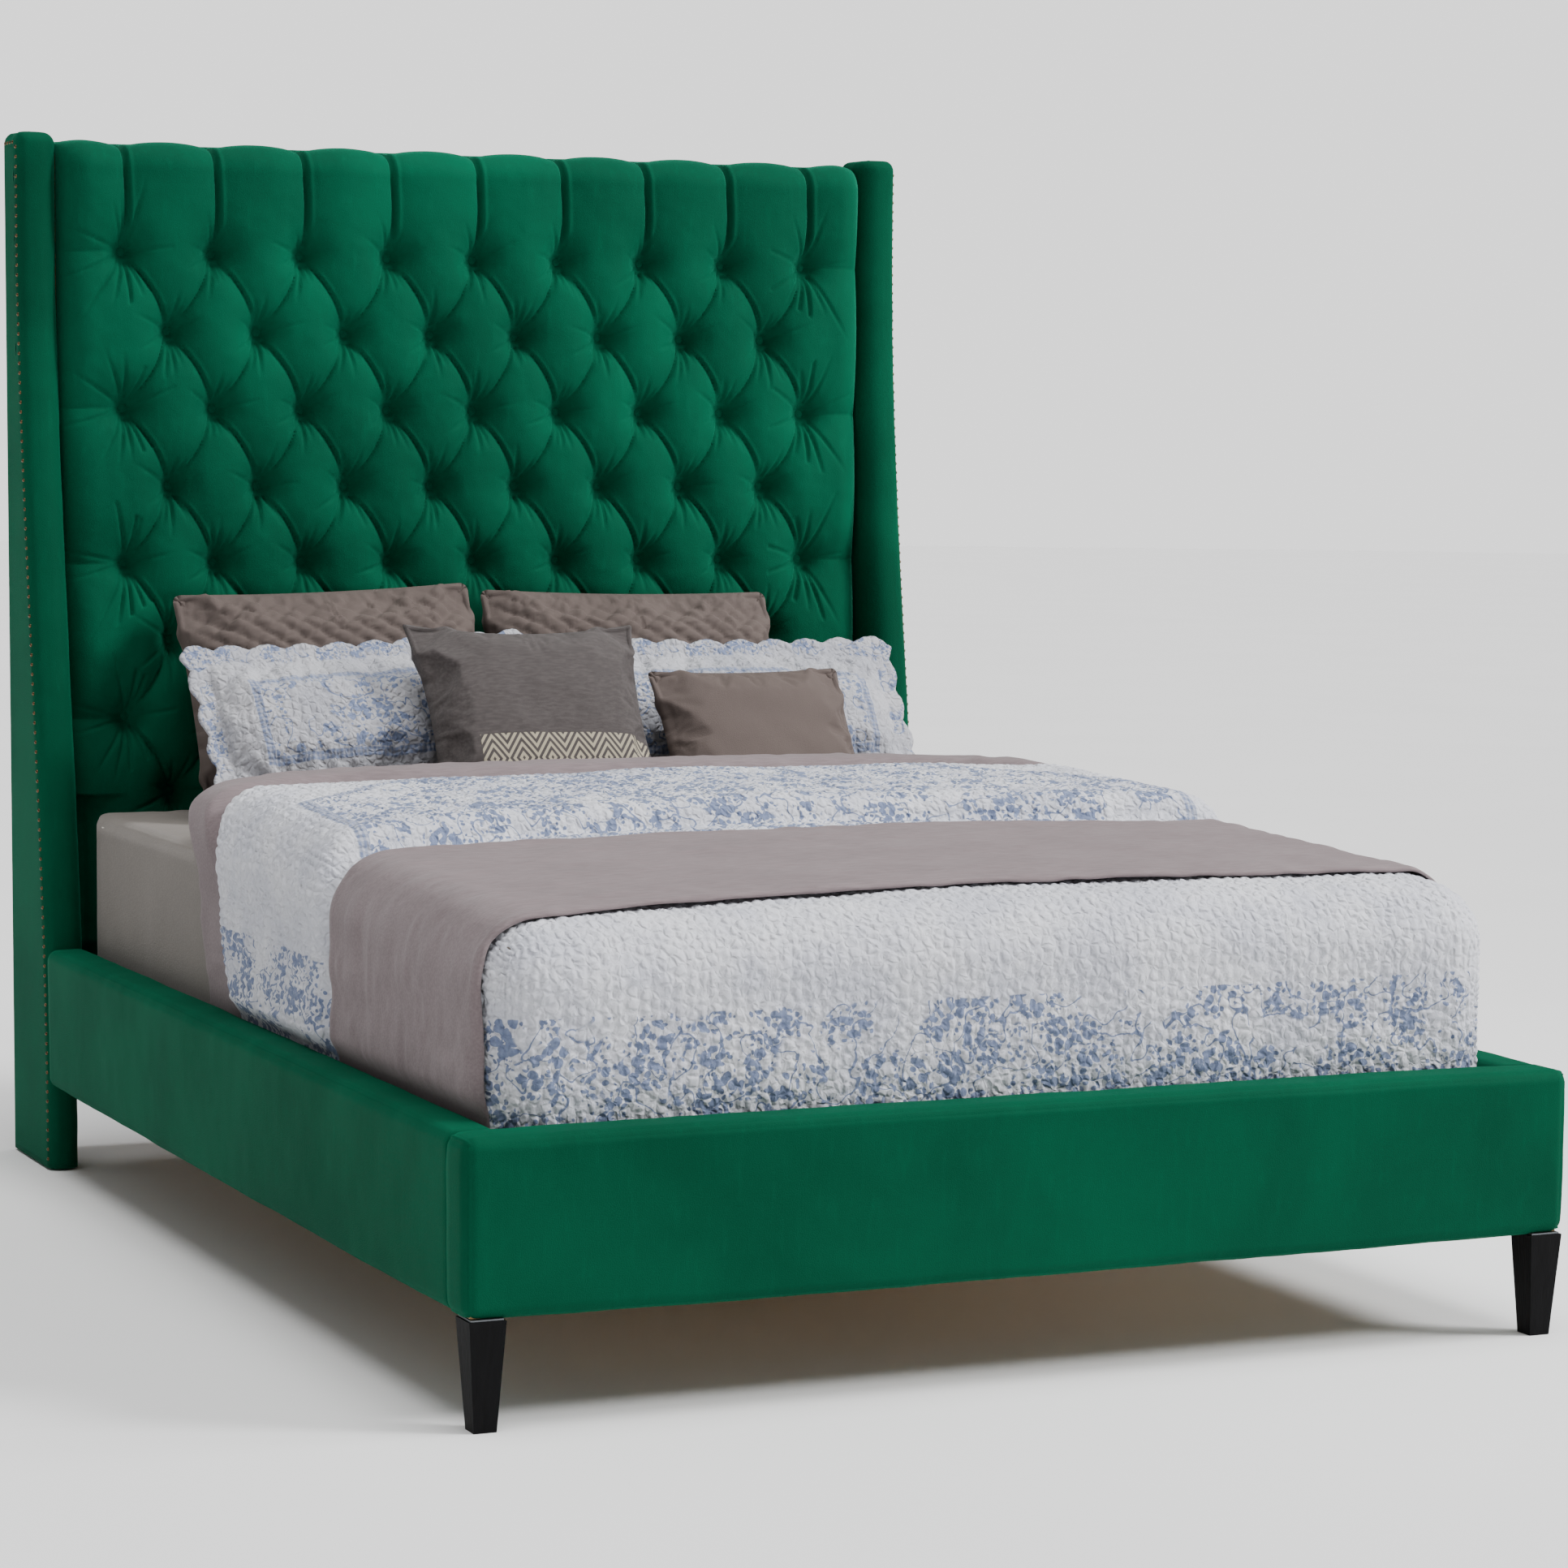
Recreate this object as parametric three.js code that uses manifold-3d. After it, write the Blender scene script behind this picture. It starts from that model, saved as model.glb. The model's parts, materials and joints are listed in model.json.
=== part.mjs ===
// A queen-size upholstered bed: tall diamond-tufted headboard between two padded wings, padded
// side rails and footboard, slats on a legged centre beam, and a made-up mattress with pillows.
// Millimetres, +Z up, +X to the right seen from the foot, +Y towards the head.
// The origin is on the floor, in the middle of the bed's outline.
import * as THREE from "three";
import { mergeVertices } from "three/addons/utils/BufferGeometryUtils.js";
import Module from "manifold-3d";

const wasm = await Module();
wasm.setup();

// ---- driving dimensions ------------------------------------------------------------------

const BED_WIDTH = 1700;
const BED_LENGTH = 2330;
const MATTRESS_WIDTH = 1524;
const MATTRESS_LENGTH = 2032;
const MATTRESS_HEIGHT = 302;

const SIDE_X = -BED_WIDTH / 2;
const FOOT_Y = -BED_LENGTH / 2;
const HEAD_Y = BED_LENGTH / 2;
const GAP = 0.3;

const RAIL_BOTTOM_Z = 150;
const RAIL_TOP_Z = 390;
const RAIL_THICKNESS = 74;
const RAIL_EDGE_RADIUS = 18;
const RAIL_PADDING = { outer: 10, inner: 8, top: 12, bottom: 3 };
const RAIL_INNER_X = SIDE_X + RAIL_THICKNESS;
const FOOTBOARD_THICKNESS = 70;
const FOOTBOARD_INNER_Y = FOOT_Y + FOOTBOARD_THICKNESS;

const WING_TOP_Z = 1806;
const WING_BOTTOM_Z = 4;
const WING_THICKNESS = 74;
const WING_FOOT_THICKNESS = 56;
const WING_DEPTH_AT_FOOT = 250;
const WING_DEPTH_AT_TOP = 98;
const WING_CURVE_LOW_Z = 100;
const WING_CURVE_HIGH_Z = 1660;
const WING_ROLL = 14;
const WING_CORE = { side: 4, thickness: 48, front: 14, back: 4, top: 22 };

const PANEL_HALF_WIDTH = -SIDE_X - WING_THICKNESS - GAP;
const PANEL_TOP_Z = 1795;
const PAD_FRONT_Y = 1040;
const PAD_BOTTOM_Z = 330;
const PLYWOOD_FRONT_Y = 1113;
const PLYWOOD_THICKNESS = 12;
const HEADBOARD_BOTTOM_Z = 160;
const FRAME_THICKNESS = 38;
const STILE_WIDTH = 70;
const FRAME_RAIL_HEIGHT = 90;
const BACK_COVER_THICKNESS = 1.4;

const SLAT = { count: 14, width: 70, thickness: 18, firstY: -1030, pitch: 148, strapX: 380 };
const SLAT_BOTTOM_Z = 300;
const LEDGER_SIZE = 30;
const BEAM = { width: 60, height: 65 };
const CENTRE_LEG = { size: 48, ys: [-420, 170, 760] };
const LEVELLER = { padRadius: 16, padHeight: 7, stemRadius: 4, stemLength: 46, bore: 4.4 };

const FRONT_LEG = { topSize: 52, bottomSize: 32, height: 150, insetX: 31, insetY: 26 };
const LEG_PLATE = { size: 46, thickness: 2.2, studRadius: 4, studLength: 40 };
const BRACKET = { thickness: 4, lowZ: 180, highZ: 290, reach: 90 };
const BOLT = { radius: 4, bore: 4.4, headRadius: 7, headHeight: 5 };
const BRACKET_BOLT_LENGTH = 62;
const WING_BOLT_LENGTH = 112;
const WING_BOLT_ZS = { lower: 520, upper: 1460 };

const MATTRESS_BOTTOM_Z = SLAT_BOTTOM_Z + SLAT.thickness + 2.5;
const MATTRESS_TOP_Z = MATTRESS_BOTTOM_Z + MATTRESS_HEIGHT;
const MATTRESS_FOOT_Y = FOOTBOARD_INNER_Y + 33;
const MATTRESS_EDGE_RADIUS = 28;
const SHEET_THICKNESS = 1.6;
const BEDDING_TUCK_Z = 345;
const BEDDING_TUCK_X = 774;

// ---- materials -----------------------------------------------------------------------------

const material = (color, roughness, metalness = 0) =>
  new THREE.MeshStandardMaterial({ color, roughness, metalness });

const VELVET = material(0x1d664b, 0.8);
const BACK_CLOTH = material(0x16392c, 0.95);
const PINE = material(0xc49a63, 0.7);
const PLYWOOD = material(0xb98f5c, 0.75);
const BLACK_WOOD = material(0x0f0f11, 0.45);
const STEEL = material(0x6f7276, 0.4, 1);
const BLACK_PLASTIC = material(0x17181a, 0.6);
const TICKING = material(0xe8e6e0, 0.9);
const FITTED_COTTON = material(0x6b655e, 0.9);
const THROW_CLOTH = material(0x857870, 0.9);
const QUILT_COTTON = material(0xcdcdd4, 0.9);
const PILLOW_VELVET = material(0x7d7068, 0.85);

// ---- shapes --------------------------------------------------------------------------------

const ALONG_X = new THREE.Matrix4().makeBasis(
  new THREE.Vector3(0, 1, 0), new THREE.Vector3(0, 0, 1), new THREE.Vector3(1, 0, 0));
const ALONG_MINUS_Y = new THREE.Matrix4().makeBasis(
  new THREE.Vector3(1, 0, 0), new THREE.Vector3(0, 0, 1), new THREE.Vector3(0, -1, 0));

function block([x0, x1], [y0, y1], [z0, z1]) {
  const box = new THREE.BoxGeometry(x1 - x0, y1 - y0, z1 - z0);
  return box.translate((x0 + x1) / 2, (y0 + y1) / 2, (z0 + z1) / 2);
}

function roundedRect([a0, a1], [b0, b1], radius) {
  const shape = new THREE.Shape();
  const right = Math.PI / 2;
  shape.absarc(a1 - radius, b0 + radius, radius, -right, 0);
  shape.absarc(a1 - radius, b1 - radius, radius, 0, right);
  shape.absarc(a0 + radius, b1 - radius, radius, right, 2 * right);
  shape.absarc(a0 + radius, b0 + radius, radius, 2 * right, 3 * right);
  return shape;
}

// Extrudes a shape; with a bevel, the outline stays the widest section and the ends round over.
function extrude(shape, depth, bevel = 0, curveSegments = 4) {
  return new THREE.ExtrudeGeometry(shape, {
    depth: depth - 2 * bevel,
    bevelEnabled: bevel > 0,
    bevelThickness: bevel,
    bevelSize: bevel,
    bevelOffset: -bevel,
    bevelSegments: 3,
    curveSegments,
  }).translate(0, 0, bevel);
}

// The shape's own axes are Y and Z.
function extrudeX(shape, [x0, x1], bevel) {
  return extrude(shape, x1 - x0, bevel).applyMatrix4(ALONG_X).translate(x0, 0, 0);
}

// The shape's own axes are X and Z.
function extrudeY(shape, [y0, y1], bevel) {
  return extrude(shape, y1 - y0, bevel).applyMatrix4(ALONG_MINUS_Y).translate(0, y1, 0);
}

// The shape's own axes are X and Y.
function extrudeZ(shape, [z0, z1], bevel) {
  return extrude(shape, z1 - z0, bevel).translate(0, 0, z0);
}

function rodX(radius, [x0, x1], y, z, sides = 16) {
  const rod = new THREE.CylinderGeometry(radius, radius, x1 - x0, sides);
  return rod.rotateZ(Math.PI / 2).translate((x0 + x1) / 2, y, z);
}

function rodY(radius, x, [y0, y1], z, sides = 16) {
  const rod = new THREE.CylinderGeometry(radius, radius, y1 - y0, sides);
  return rod.translate(x, (y0 + y1) / 2, z);
}

function rodZ(radius, x, y, [z0, z1], sides = 16) {
  const rod = new THREE.CylinderGeometry(radius, radius, z1 - z0, sides);
  return rod.rotateX(Math.PI / 2).translate(x, y, (z0 + z1) / 2);
}

function toSolid(geometry) {
  const bare = geometry.clone();
  for (const name of ["normal", "uv"]) bare.deleteAttribute(name);
  const merged = mergeVertices(bare, 1e-3);
  return new wasm.Manifold(new wasm.Mesh({
    numProp: 3,
    vertProperties: new Float32Array(merged.attributes.position.array),
    triVerts: new Uint32Array(merged.index.array),
  }));
}

function toGeometry(solid) {
  const mesh = solid.getMesh();
  const geometry = new THREE.BufferGeometry();
  geometry.setAttribute("position", new THREE.BufferAttribute(mesh.vertProperties, 3));
  geometry.setIndex(new THREE.BufferAttribute(mesh.triVerts, 1));
  geometry.computeVertexNormals();
  return geometry;
}

const cut = (body, ...tools) =>
  toGeometry(tools.reduce((solid, tool) => solid.subtract(toSolid(tool)), toSolid(body)));
const join = (body, ...extras) =>
  toGeometry(extras.reduce((solid, extra) => solid.add(toSolid(extra)), toSolid(body)));

// The same piece on the bed's other side, with its faces still pointing out.
function mirrored(geometry) {
  const copy = geometry.index ? geometry.clone() : mergeVertices(geometry.clone(), 1e-3);
  copy.scale(-1, 1, 1);
  const index = copy.index.array;
  for (let i = 0; i < index.length; i += 3) {
    [index[i], index[i + 1]] = [index[i + 1], index[i]];
  }
  copy.computeVertexNormals();
  return copy;
}

// Closed skin through cross-sections that stand across Y: each is a loop of [x, z] points,
// anticlockwise seen from the foot.
function loft(sections) {
  const count = sections[0].loop.length;
  const positions = sections.flatMap(({ y, loop }) => loop.flatMap(([x, z]) => [x, y, z]));
  const index = [];
  for (let s = 0; s + 1 < sections.length; s += 1) {
    for (let j = 0; j < count; j += 1) {
      const [a, b] = [s * count + j, s * count + ((j + 1) % count)];
      index.push(a, a + count, b + count, a, b + count, b);
    }
  }
  const cap = (section) => THREE.ShapeUtils.triangulateShape(
    section.loop.map(([x, z]) => new THREE.Vector2(x, z)), []);
  const last = (sections.length - 1) * count;
  for (const [a, b, c] of cap(sections[0])) index.push(a, b, c);
  for (const [a, b, c] of cap(sections.at(-1))) index.push(last + a, last + c, last + b);
  const geometry = new THREE.BufferGeometry();
  geometry.setAttribute("position", new THREE.Float32BufferAttribute(positions, 3));
  geometry.setIndex(index);
  geometry.computeVertexNormals();
  return geometry;
}

// ---- the assembly --------------------------------------------------------------------------

const bed = new THREE.Group();

function add(name, geometry, finish) {
  const mesh = new THREE.Mesh(geometry, finish);
  mesh.name = name;
  bed.add(mesh);
}

// Pieces are drawn for the left side; the right one is its mirror image.
function addPair(name, geometry, finish) {
  add(`${name}_left`, geometry, finish);
  add(`${name}_right`, mirrored(geometry), finish);
}

// ---- headboard panel -----------------------------------------------------------------------

const plywoodBackY = PLYWOOD_FRONT_Y + PLYWOOD_THICKNESS;
const frameY = [plywoodBackY + GAP, plywoodBackY + GAP + FRAME_THICKNESS];
const frameTopZ = PANEL_TOP_Z - 20;
const stileX = [-PANEL_HALF_WIDTH, -PANEL_HALF_WIDTH + STILE_WIDTH];
const frameMiddleY = (frameY[0] + frameY[1]) / 2;
const wingBoltX = [stileX[1], stileX[1] - WING_BOLT_LENGTH];

const wingBoltBore = (z) => rodX(BOLT.bore, [wingBoltX[1] - 2, wingBoltX[0] + 1], frameMiddleY, z);
const wingBoltBores = Object.values(WING_BOLT_ZS).map(wingBoltBore);

function buildHeadboardPanel() {
  const crossX = [-PANEL_HALF_WIDTH + STILE_WIDTH + GAP, PANEL_HALF_WIDTH - STILE_WIDTH - GAP];
  const panelX = [-PANEL_HALF_WIDTH, PANEL_HALF_WIDTH];
  const pad = roundedRect([PAD_FRONT_Y, PLYWOOD_FRONT_Y - GAP], [PAD_BOTTOM_Z, PANEL_TOP_Z], 30);
  const backY = [frameY[1] + GAP, frameY[1] + GAP + BACK_COVER_THICKNESS];

  addPair("headboard_stile",
    cut(block(stileX, frameY, [HEADBOARD_BOTTOM_Z, frameTopZ]), ...wingBoltBores), PINE);
  add("headboard_rail_top",
    block(crossX, frameY, [frameTopZ - FRAME_RAIL_HEIGHT, frameTopZ]), PINE);
  add("headboard_rail_bottom",
    block(crossX, frameY, [HEADBOARD_BOTTOM_Z, HEADBOARD_BOTTOM_Z + FRAME_RAIL_HEIGHT]), PINE);
  add("headboard_plywood",
    block(panelX, [PLYWOOD_FRONT_Y, plywoodBackY], [HEADBOARD_BOTTOM_Z, frameTopZ]), PLYWOOD);
  add("headboard_tufted_pad", extrudeX(pad, panelX, 12), VELVET);
  add("headboard_back_cover",
    block(panelX, backY, [HEADBOARD_BOTTOM_Z, PANEL_TOP_Z - 6]), BACK_CLOTH);
}

// ---- wings ---------------------------------------------------------------------------------

// How far the wing's front edge stands ahead of its back, easing from the foot to the top.
function wingDepth(z) {
  const rise = THREE.MathUtils.smoothstep(z, WING_CURVE_LOW_Z, WING_CURVE_HIGH_Z);
  return THREE.MathUtils.lerp(WING_DEPTH_AT_FOOT, WING_DEPTH_AT_TOP, rise);
}

// The wing's side outline, moved in by `front` and `back`, between two heights.
function wingOutline(front, back, lowZ, highZ) {
  const steps = 18;
  const shape = new THREE.Shape();
  shape.moveTo(HEAD_Y - back, lowZ);
  shape.lineTo(HEAD_Y - back, highZ);
  for (let i = 0; i <= steps; i += 1) {
    const z = THREE.MathUtils.lerp(highZ, lowZ, i / steps);
    shape.lineTo(HEAD_Y - wingDepth(z) + front, z);
  }
  return shape;
}

function buildWings() {
  const coreX = [SIDE_X + WING_CORE.side, SIDE_X + WING_CORE.side + WING_CORE.thickness];
  const coreTopZ = WING_TOP_Z - WING_CORE.top;
  const glideTopZ = 5;
  const coreOutline = (slack, lowZ) =>
    wingOutline(WING_CORE.front - slack, WING_CORE.back - slack, lowZ, coreTopZ + slack);
  const pocket = extrudeX(coreOutline(GAP, -20), [coreX[0] - GAP, coreX[1] + GAP]);
  const body = extrudeX(
    wingOutline(0, 0, WING_BOTTOM_Z, WING_TOP_Z), [SIDE_X, SIDE_X + WING_THICKNESS], WING_ROLL);
  const slimFoot = block(
    [SIDE_X + WING_FOOT_THICKNESS, SIDE_X + WING_THICKNESS + 5],
    [HEAD_Y - 300, HEAD_Y + 5], [-5, RAIL_BOTTOM_Z]);
  const core = extrudeX(coreOutline(0, glideTopZ + GAP), coreX);
  const bores = [...wingBoltBores, bracketBore(headBracketBolts.wing)];

  addPair("wing_core", cut(core, ...bores), PINE);
  addPair("wing_cover", cut(body, pocket, slimFoot, ...bores), VELVET);
  addPair("wing_glide",
    block([coreX[0] + 4, coreX[1] - 4], [HEAD_Y - 225, HEAD_Y - 15], [0, glideTopZ]), BLACK_PLASTIC);
  for (const [place, z] of Object.entries(WING_BOLT_ZS)) {
    const shank = rodX(BOLT.radius, [wingBoltX[1], wingBoltX[0] + 1], frameMiddleY, z);
    const head = rodX(BOLT.headRadius,
      [wingBoltX[0] + GAP, wingBoltX[0] + GAP + BOLT.headHeight], frameMiddleY, z, 6);
    addPair(`wing_bolt_${place}`, join(shank, head), STEEL);
  }
}

// ---- side rails, footboard and their brackets ------------------------------------------------

const railY = [FOOTBOARD_INNER_Y + GAP, HEAD_Y - WING_DEPTH_AT_FOOT - GAP];
const bracketX = [RAIL_INNER_X + GAP, RAIL_INNER_X + GAP + BRACKET.thickness];
const bracketY = [FOOTBOARD_INNER_Y + GAP, FOOTBOARD_INNER_Y + GAP + BRACKET.thickness];
const bracketBoltZ = (BRACKET.lowZ + BRACKET.highZ) / 2;
const headBracketBolts = { rail: railY[1] - 45, wing: railY[1] + 50 };
const footBracketBolts = { railY: bracketY[1] + 45, boardX: bracketX[1] + 40 };

// Bores and bolts that run out through the rail or wing, along -X.
function bracketBore(y) {
  return rodX(BOLT.bore, [bracketX[1] - BRACKET_BOLT_LENGTH - 2, bracketX[1] + 1], y, bracketBoltZ);
}

function bracketBolt(y) {
  return join(
    rodX(BOLT.radius, [bracketX[1] - BRACKET_BOLT_LENGTH, bracketX[1] + 1], y, bracketBoltZ),
    rodX(BOLT.headRadius, [bracketX[1] + GAP, bracketX[1] + GAP + BOLT.headHeight], y, bracketBoltZ, 6));
}

// Bores and bolts that run into the footboard, along -Y.
function boardBore(x) {
  return rodY(BOLT.bore, x, [bracketY[1] - BRACKET_BOLT_LENGTH - 2, bracketY[1] + 1], bracketBoltZ);
}

function boardBolt(x) {
  return join(
    rodY(BOLT.radius, x, [bracketY[1] - BRACKET_BOLT_LENGTH, bracketY[1] + 1], bracketBoltZ),
    rodY(BOLT.headRadius, x, [bracketY[1] + GAP, bracketY[1] + GAP + BOLT.headHeight], bracketBoltZ, 6));
}

function buildSideRails() {
  const outer = roundedRect([SIDE_X, RAIL_INNER_X], [RAIL_BOTTOM_Z, RAIL_TOP_Z], RAIL_EDGE_RADIUS);
  const boardX = [SIDE_X + RAIL_PADDING.outer, RAIL_INNER_X - RAIL_PADDING.inner];
  const boardZ = [RAIL_BOTTOM_Z + RAIL_PADDING.bottom, RAIL_TOP_Z - RAIL_PADDING.top];
  const grow = ([low, high]) => [low - GAP, high + GAP];
  const bores = [bracketBore(headBracketBolts.rail), bracketBore(footBracketBolts.railY)];
  const hollow = block(grow(boardX), [railY[0] - 5, railY[1] + 5], grow(boardZ));

  addPair("side_rail_board", cut(block(boardX, railY, boardZ), ...bores), PINE);
  addPair("side_rail_cover", cut(extrudeY(outer, railY, 0), hollow, ...bores), VELVET);
  addPair("slat_ledger",
    block([bracketX[0], bracketX[0] + LEDGER_SIZE],
      [bracketY[1] + BRACKET.reach, railY[1] - BRACKET.reach - 5],
      [SLAT_BOTTOM_Z - GAP - LEDGER_SIZE, SLAT_BOTTOM_Z - GAP]), PINE);
}

function buildBrackets() {
  const bracketZ = [BRACKET.lowZ, BRACKET.highZ];
  const flat = block(bracketX, [railY[1] - BRACKET.reach, railY[1] + BRACKET.reach], bracketZ);
  const alongRail = block(bracketX, [bracketY[0], bracketY[0] + BRACKET.reach], bracketZ);
  const alongBoard = block([bracketX[0], bracketX[0] + BRACKET.reach], bracketY, bracketZ);

  addPair("bracket_head", cut(flat, ...Object.values(headBracketBolts).map(bracketBore)), STEEL);
  addPair("bracket_foot", cut(join(alongRail, alongBoard),
    bracketBore(footBracketBolts.railY), boardBore(footBracketBolts.boardX)), STEEL);
  addPair("bolt_head_rail", bracketBolt(headBracketBolts.rail), STEEL);
  addPair("bolt_head_wing", bracketBolt(headBracketBolts.wing), STEEL);
  addPair("bolt_foot_rail", bracketBolt(footBracketBolts.railY), STEEL);
  addPair("bolt_foot_board", boardBolt(footBracketBolts.boardX), STEEL);
}

const frontLegX = SIDE_X + FRONT_LEG.insetX;
const frontLegY = FOOT_Y + FRONT_LEG.insetY;

function buildFootboard() {
  const section = roundedRect(
    [FOOT_Y, FOOTBOARD_INNER_Y], [RAIL_BOTTOM_Z, RAIL_TOP_Z], RAIL_EDGE_RADIUS);
  const boardX = [SIDE_X + RAIL_PADDING.outer, -SIDE_X - RAIL_PADDING.outer];
  const boardY = [FOOT_Y + RAIL_PADDING.outer, FOOTBOARD_INNER_Y - RAIL_PADDING.inner];
  const boardZ = [RAIL_BOTTOM_Z + RAIL_PADDING.bottom, RAIL_TOP_Z - RAIL_PADDING.top];
  const grow = ([low, high]) => [low - GAP, high + GAP];
  const bores = [boardBore(footBracketBolts.boardX), boardBore(-footBracketBolts.boardX)];
  const plateHalf = LEG_PLATE.size / 2;
  const plateRecess = (x) => block(
    [x - plateHalf - GAP, x + plateHalf + GAP],
    [frontLegY - plateHalf - GAP, frontLegY + plateHalf + GAP],
    [RAIL_BOTTOM_Z - 5, boardZ[0]]);

  add("footboard_board", cut(block(boardX, boardY, boardZ), ...bores), PINE);
  add("footboard_cover", cut(extrudeX(section, [SIDE_X, -SIDE_X], 8),
    block(grow(boardX), grow(boardY), grow(boardZ)), ...bores,
    plateRecess(frontLegX), plateRecess(-frontLegX)), VELVET);
}

// Square tapered legs on a steel plate whose stud screws into the leg.
function buildFrontLegs() {
  const cornerRadius = (size) => size / Math.SQRT2;
  const legTopZ = FRONT_LEG.height - GAP;
  const taper = new THREE.CylinderGeometry(
    cornerRadius(FRONT_LEG.topSize), cornerRadius(FRONT_LEG.bottomSize), legTopZ, 4, 1);
  taper.rotateY(Math.PI / 4).rotateX(Math.PI / 2).translate(frontLegX, frontLegY, legTopZ / 2);
  const studZ = [legTopZ - LEG_PLATE.studLength, FRONT_LEG.height + 1];
  const stud = rodZ(LEG_PLATE.studRadius, frontLegX, frontLegY, studZ);
  const bore = rodZ(LEG_PLATE.studRadius + GAP, frontLegX, frontLegY, [studZ[0] - 2, studZ[1]]);
  const half = LEG_PLATE.size / 2;
  const plate = block([frontLegX - half, frontLegX + half], [frontLegY - half, frontLegY + half],
    [FRONT_LEG.height, FRONT_LEG.height + LEG_PLATE.thickness]);

  addPair("front_leg", cut(taper, bore), BLACK_WOOD);
  addPair("front_leg_plate", join(plate, stud), STEEL);
}

// ---- slats and centre support ----------------------------------------------------------------

function buildSlatRoll() {
  const slatX = [bracketX[0] + 1, -bracketX[0] - 1];
  const slatZ = [SLAT_BOTTOM_Z, SLAT_BOTTOM_Z + SLAT.thickness];
  const slats = Array.from({ length: SLAT.count }, (_, i) => {
    const y = SLAT.firstY + i * SLAT.pitch;
    return block(slatX, [y - SLAT.width / 2, y + SLAT.width / 2], slatZ);
  });
  const lastY = SLAT.firstY + (SLAT.count - 1) * SLAT.pitch;
  const straps = [-SLAT.strapX, SLAT.strapX].map((x) => block(
    [x - 15, x + 15], [SLAT.firstY - 20, lastY + 20], [slatZ[1] - GAP, slatZ[1] + 1.7]));
  add("slat_roll", join(...slats, ...straps), PINE);
}

function buildCentreSupport() {
  const beamTopZ = SLAT_BOTTOM_Z - GAP;
  const beamBottomZ = beamTopZ - BEAM.height;
  const half = CENTRE_LEG.size / 2;
  const legZ = [LEVELLER.padHeight + GAP, beamBottomZ - GAP];
  add("centre_beam", block([-BEAM.width / 2, BEAM.width / 2],
    [FOOTBOARD_INNER_Y + GAP, PLYWOOD_FRONT_Y - GAP], [beamBottomZ, beamTopZ]), PINE);
  CENTRE_LEG.ys.forEach((y, i) => {
    const leg = block([-half, half], [y - half, y + half], legZ);
    const bore = rodZ(LEVELLER.bore, 0, y, [0, LEVELLER.padHeight + LEVELLER.stemLength + 4]);
    const pad = rodZ(LEVELLER.padRadius, 0, y, [0, LEVELLER.padHeight], 24);
    const stem = rodZ(LEVELLER.stemRadius, 0, y,
      [LEVELLER.padHeight - 1, LEVELLER.padHeight + LEVELLER.stemLength]);
    add(`centre_leg_${i + 1}`, cut(leg, bore), PINE);
    add(`leveller_${i + 1}`, join(pad, stem), STEEL);
  });
}

// ---- mattress and bedding ----------------------------------------------------------------------

const mattressHeadY = MATTRESS_FOOT_Y + MATTRESS_LENGTH;
const MATTRESS_CORNER_RADIUS = 45;
const SHEET_HEM = { above: 10, overHead: 2.2 };
const FAR = 1500; // past the bed on every side, for blocks that only cut

// The mattress block grown by `slack` on its sides and top.
function mattressBlock(slack, bottomZ, headY = mattressHeadY) {
  const half = MATTRESS_WIDTH / 2 + slack;
  const plan = roundedRect([-half, half], [MATTRESS_FOOT_Y - slack, headY],
    MATTRESS_CORNER_RADIUS + slack);
  return extrudeZ(plan, [bottomZ, MATTRESS_TOP_Z + slack], MATTRESS_EDGE_RADIUS);
}

// A cloth drawn over the mattress: its skin from `inside` outwards, down to `hemZ`.
function clothOver(inside, thickness, hemZ, headY) {
  const deep = 60;
  const skin = mattressBlock(inside + thickness, hemZ - deep, headY);
  const hollow = mattressBlock(inside, hemZ - 2 * deep, headY - thickness);
  const below = block([-FAR, FAR], [-FAR, FAR], [hemZ - 3 * deep, hemZ]);
  return cut(skin, hollow, below);
}

// The made bed's layers, each with its widest half-width and the height of its top at stations
// along the bed: they roll over the foot, and lie higher where they are folded back at the head.
const DUVET = {
  waistX: 780,
  stations: [
    [-1068, 540], [-1060, 580], [-1036, 616], [-995, 640], [-900, 654], [-420, 672], [0, 700],
    [292, 704], [304, 736], [400, 738], [436, 716], [452, 680],
  ],
  sideEdgeY: 245,
};
const QUILT = {
  waistX: 794,
  stations: [
    [-1090, 560], [-1082, 600], [-1058, 638], [-1010, 662], [-900, 676], [-420, 694],
    [-340, 736], [0, 752], [240, 752], [290, 738],
  ],
  sideEdgeY: 102,
};
const THROW = { y: [-1010, -425], gap: 1, thickness: 4, clearOfMattress: 3 };
const SHOULDER = { radius: 90, crown: 14, steps: 5, leastSide: 60 };
const TUCK_RISE = { straight: 2, waist: 40 }; // above the rails' top
const SIDE_CUT = { x: 740, belowTop: 25 };

function topAt(stations, y) {
  const next = Math.max(1, stations.findIndex(([station]) => station >= y));
  const [[y0, z0], [y1, z1]] = [stations[next - 1], stations[next]];
  return THREE.MathUtils.mapLinear(y, y0, y1, z0, z1);
}

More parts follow.
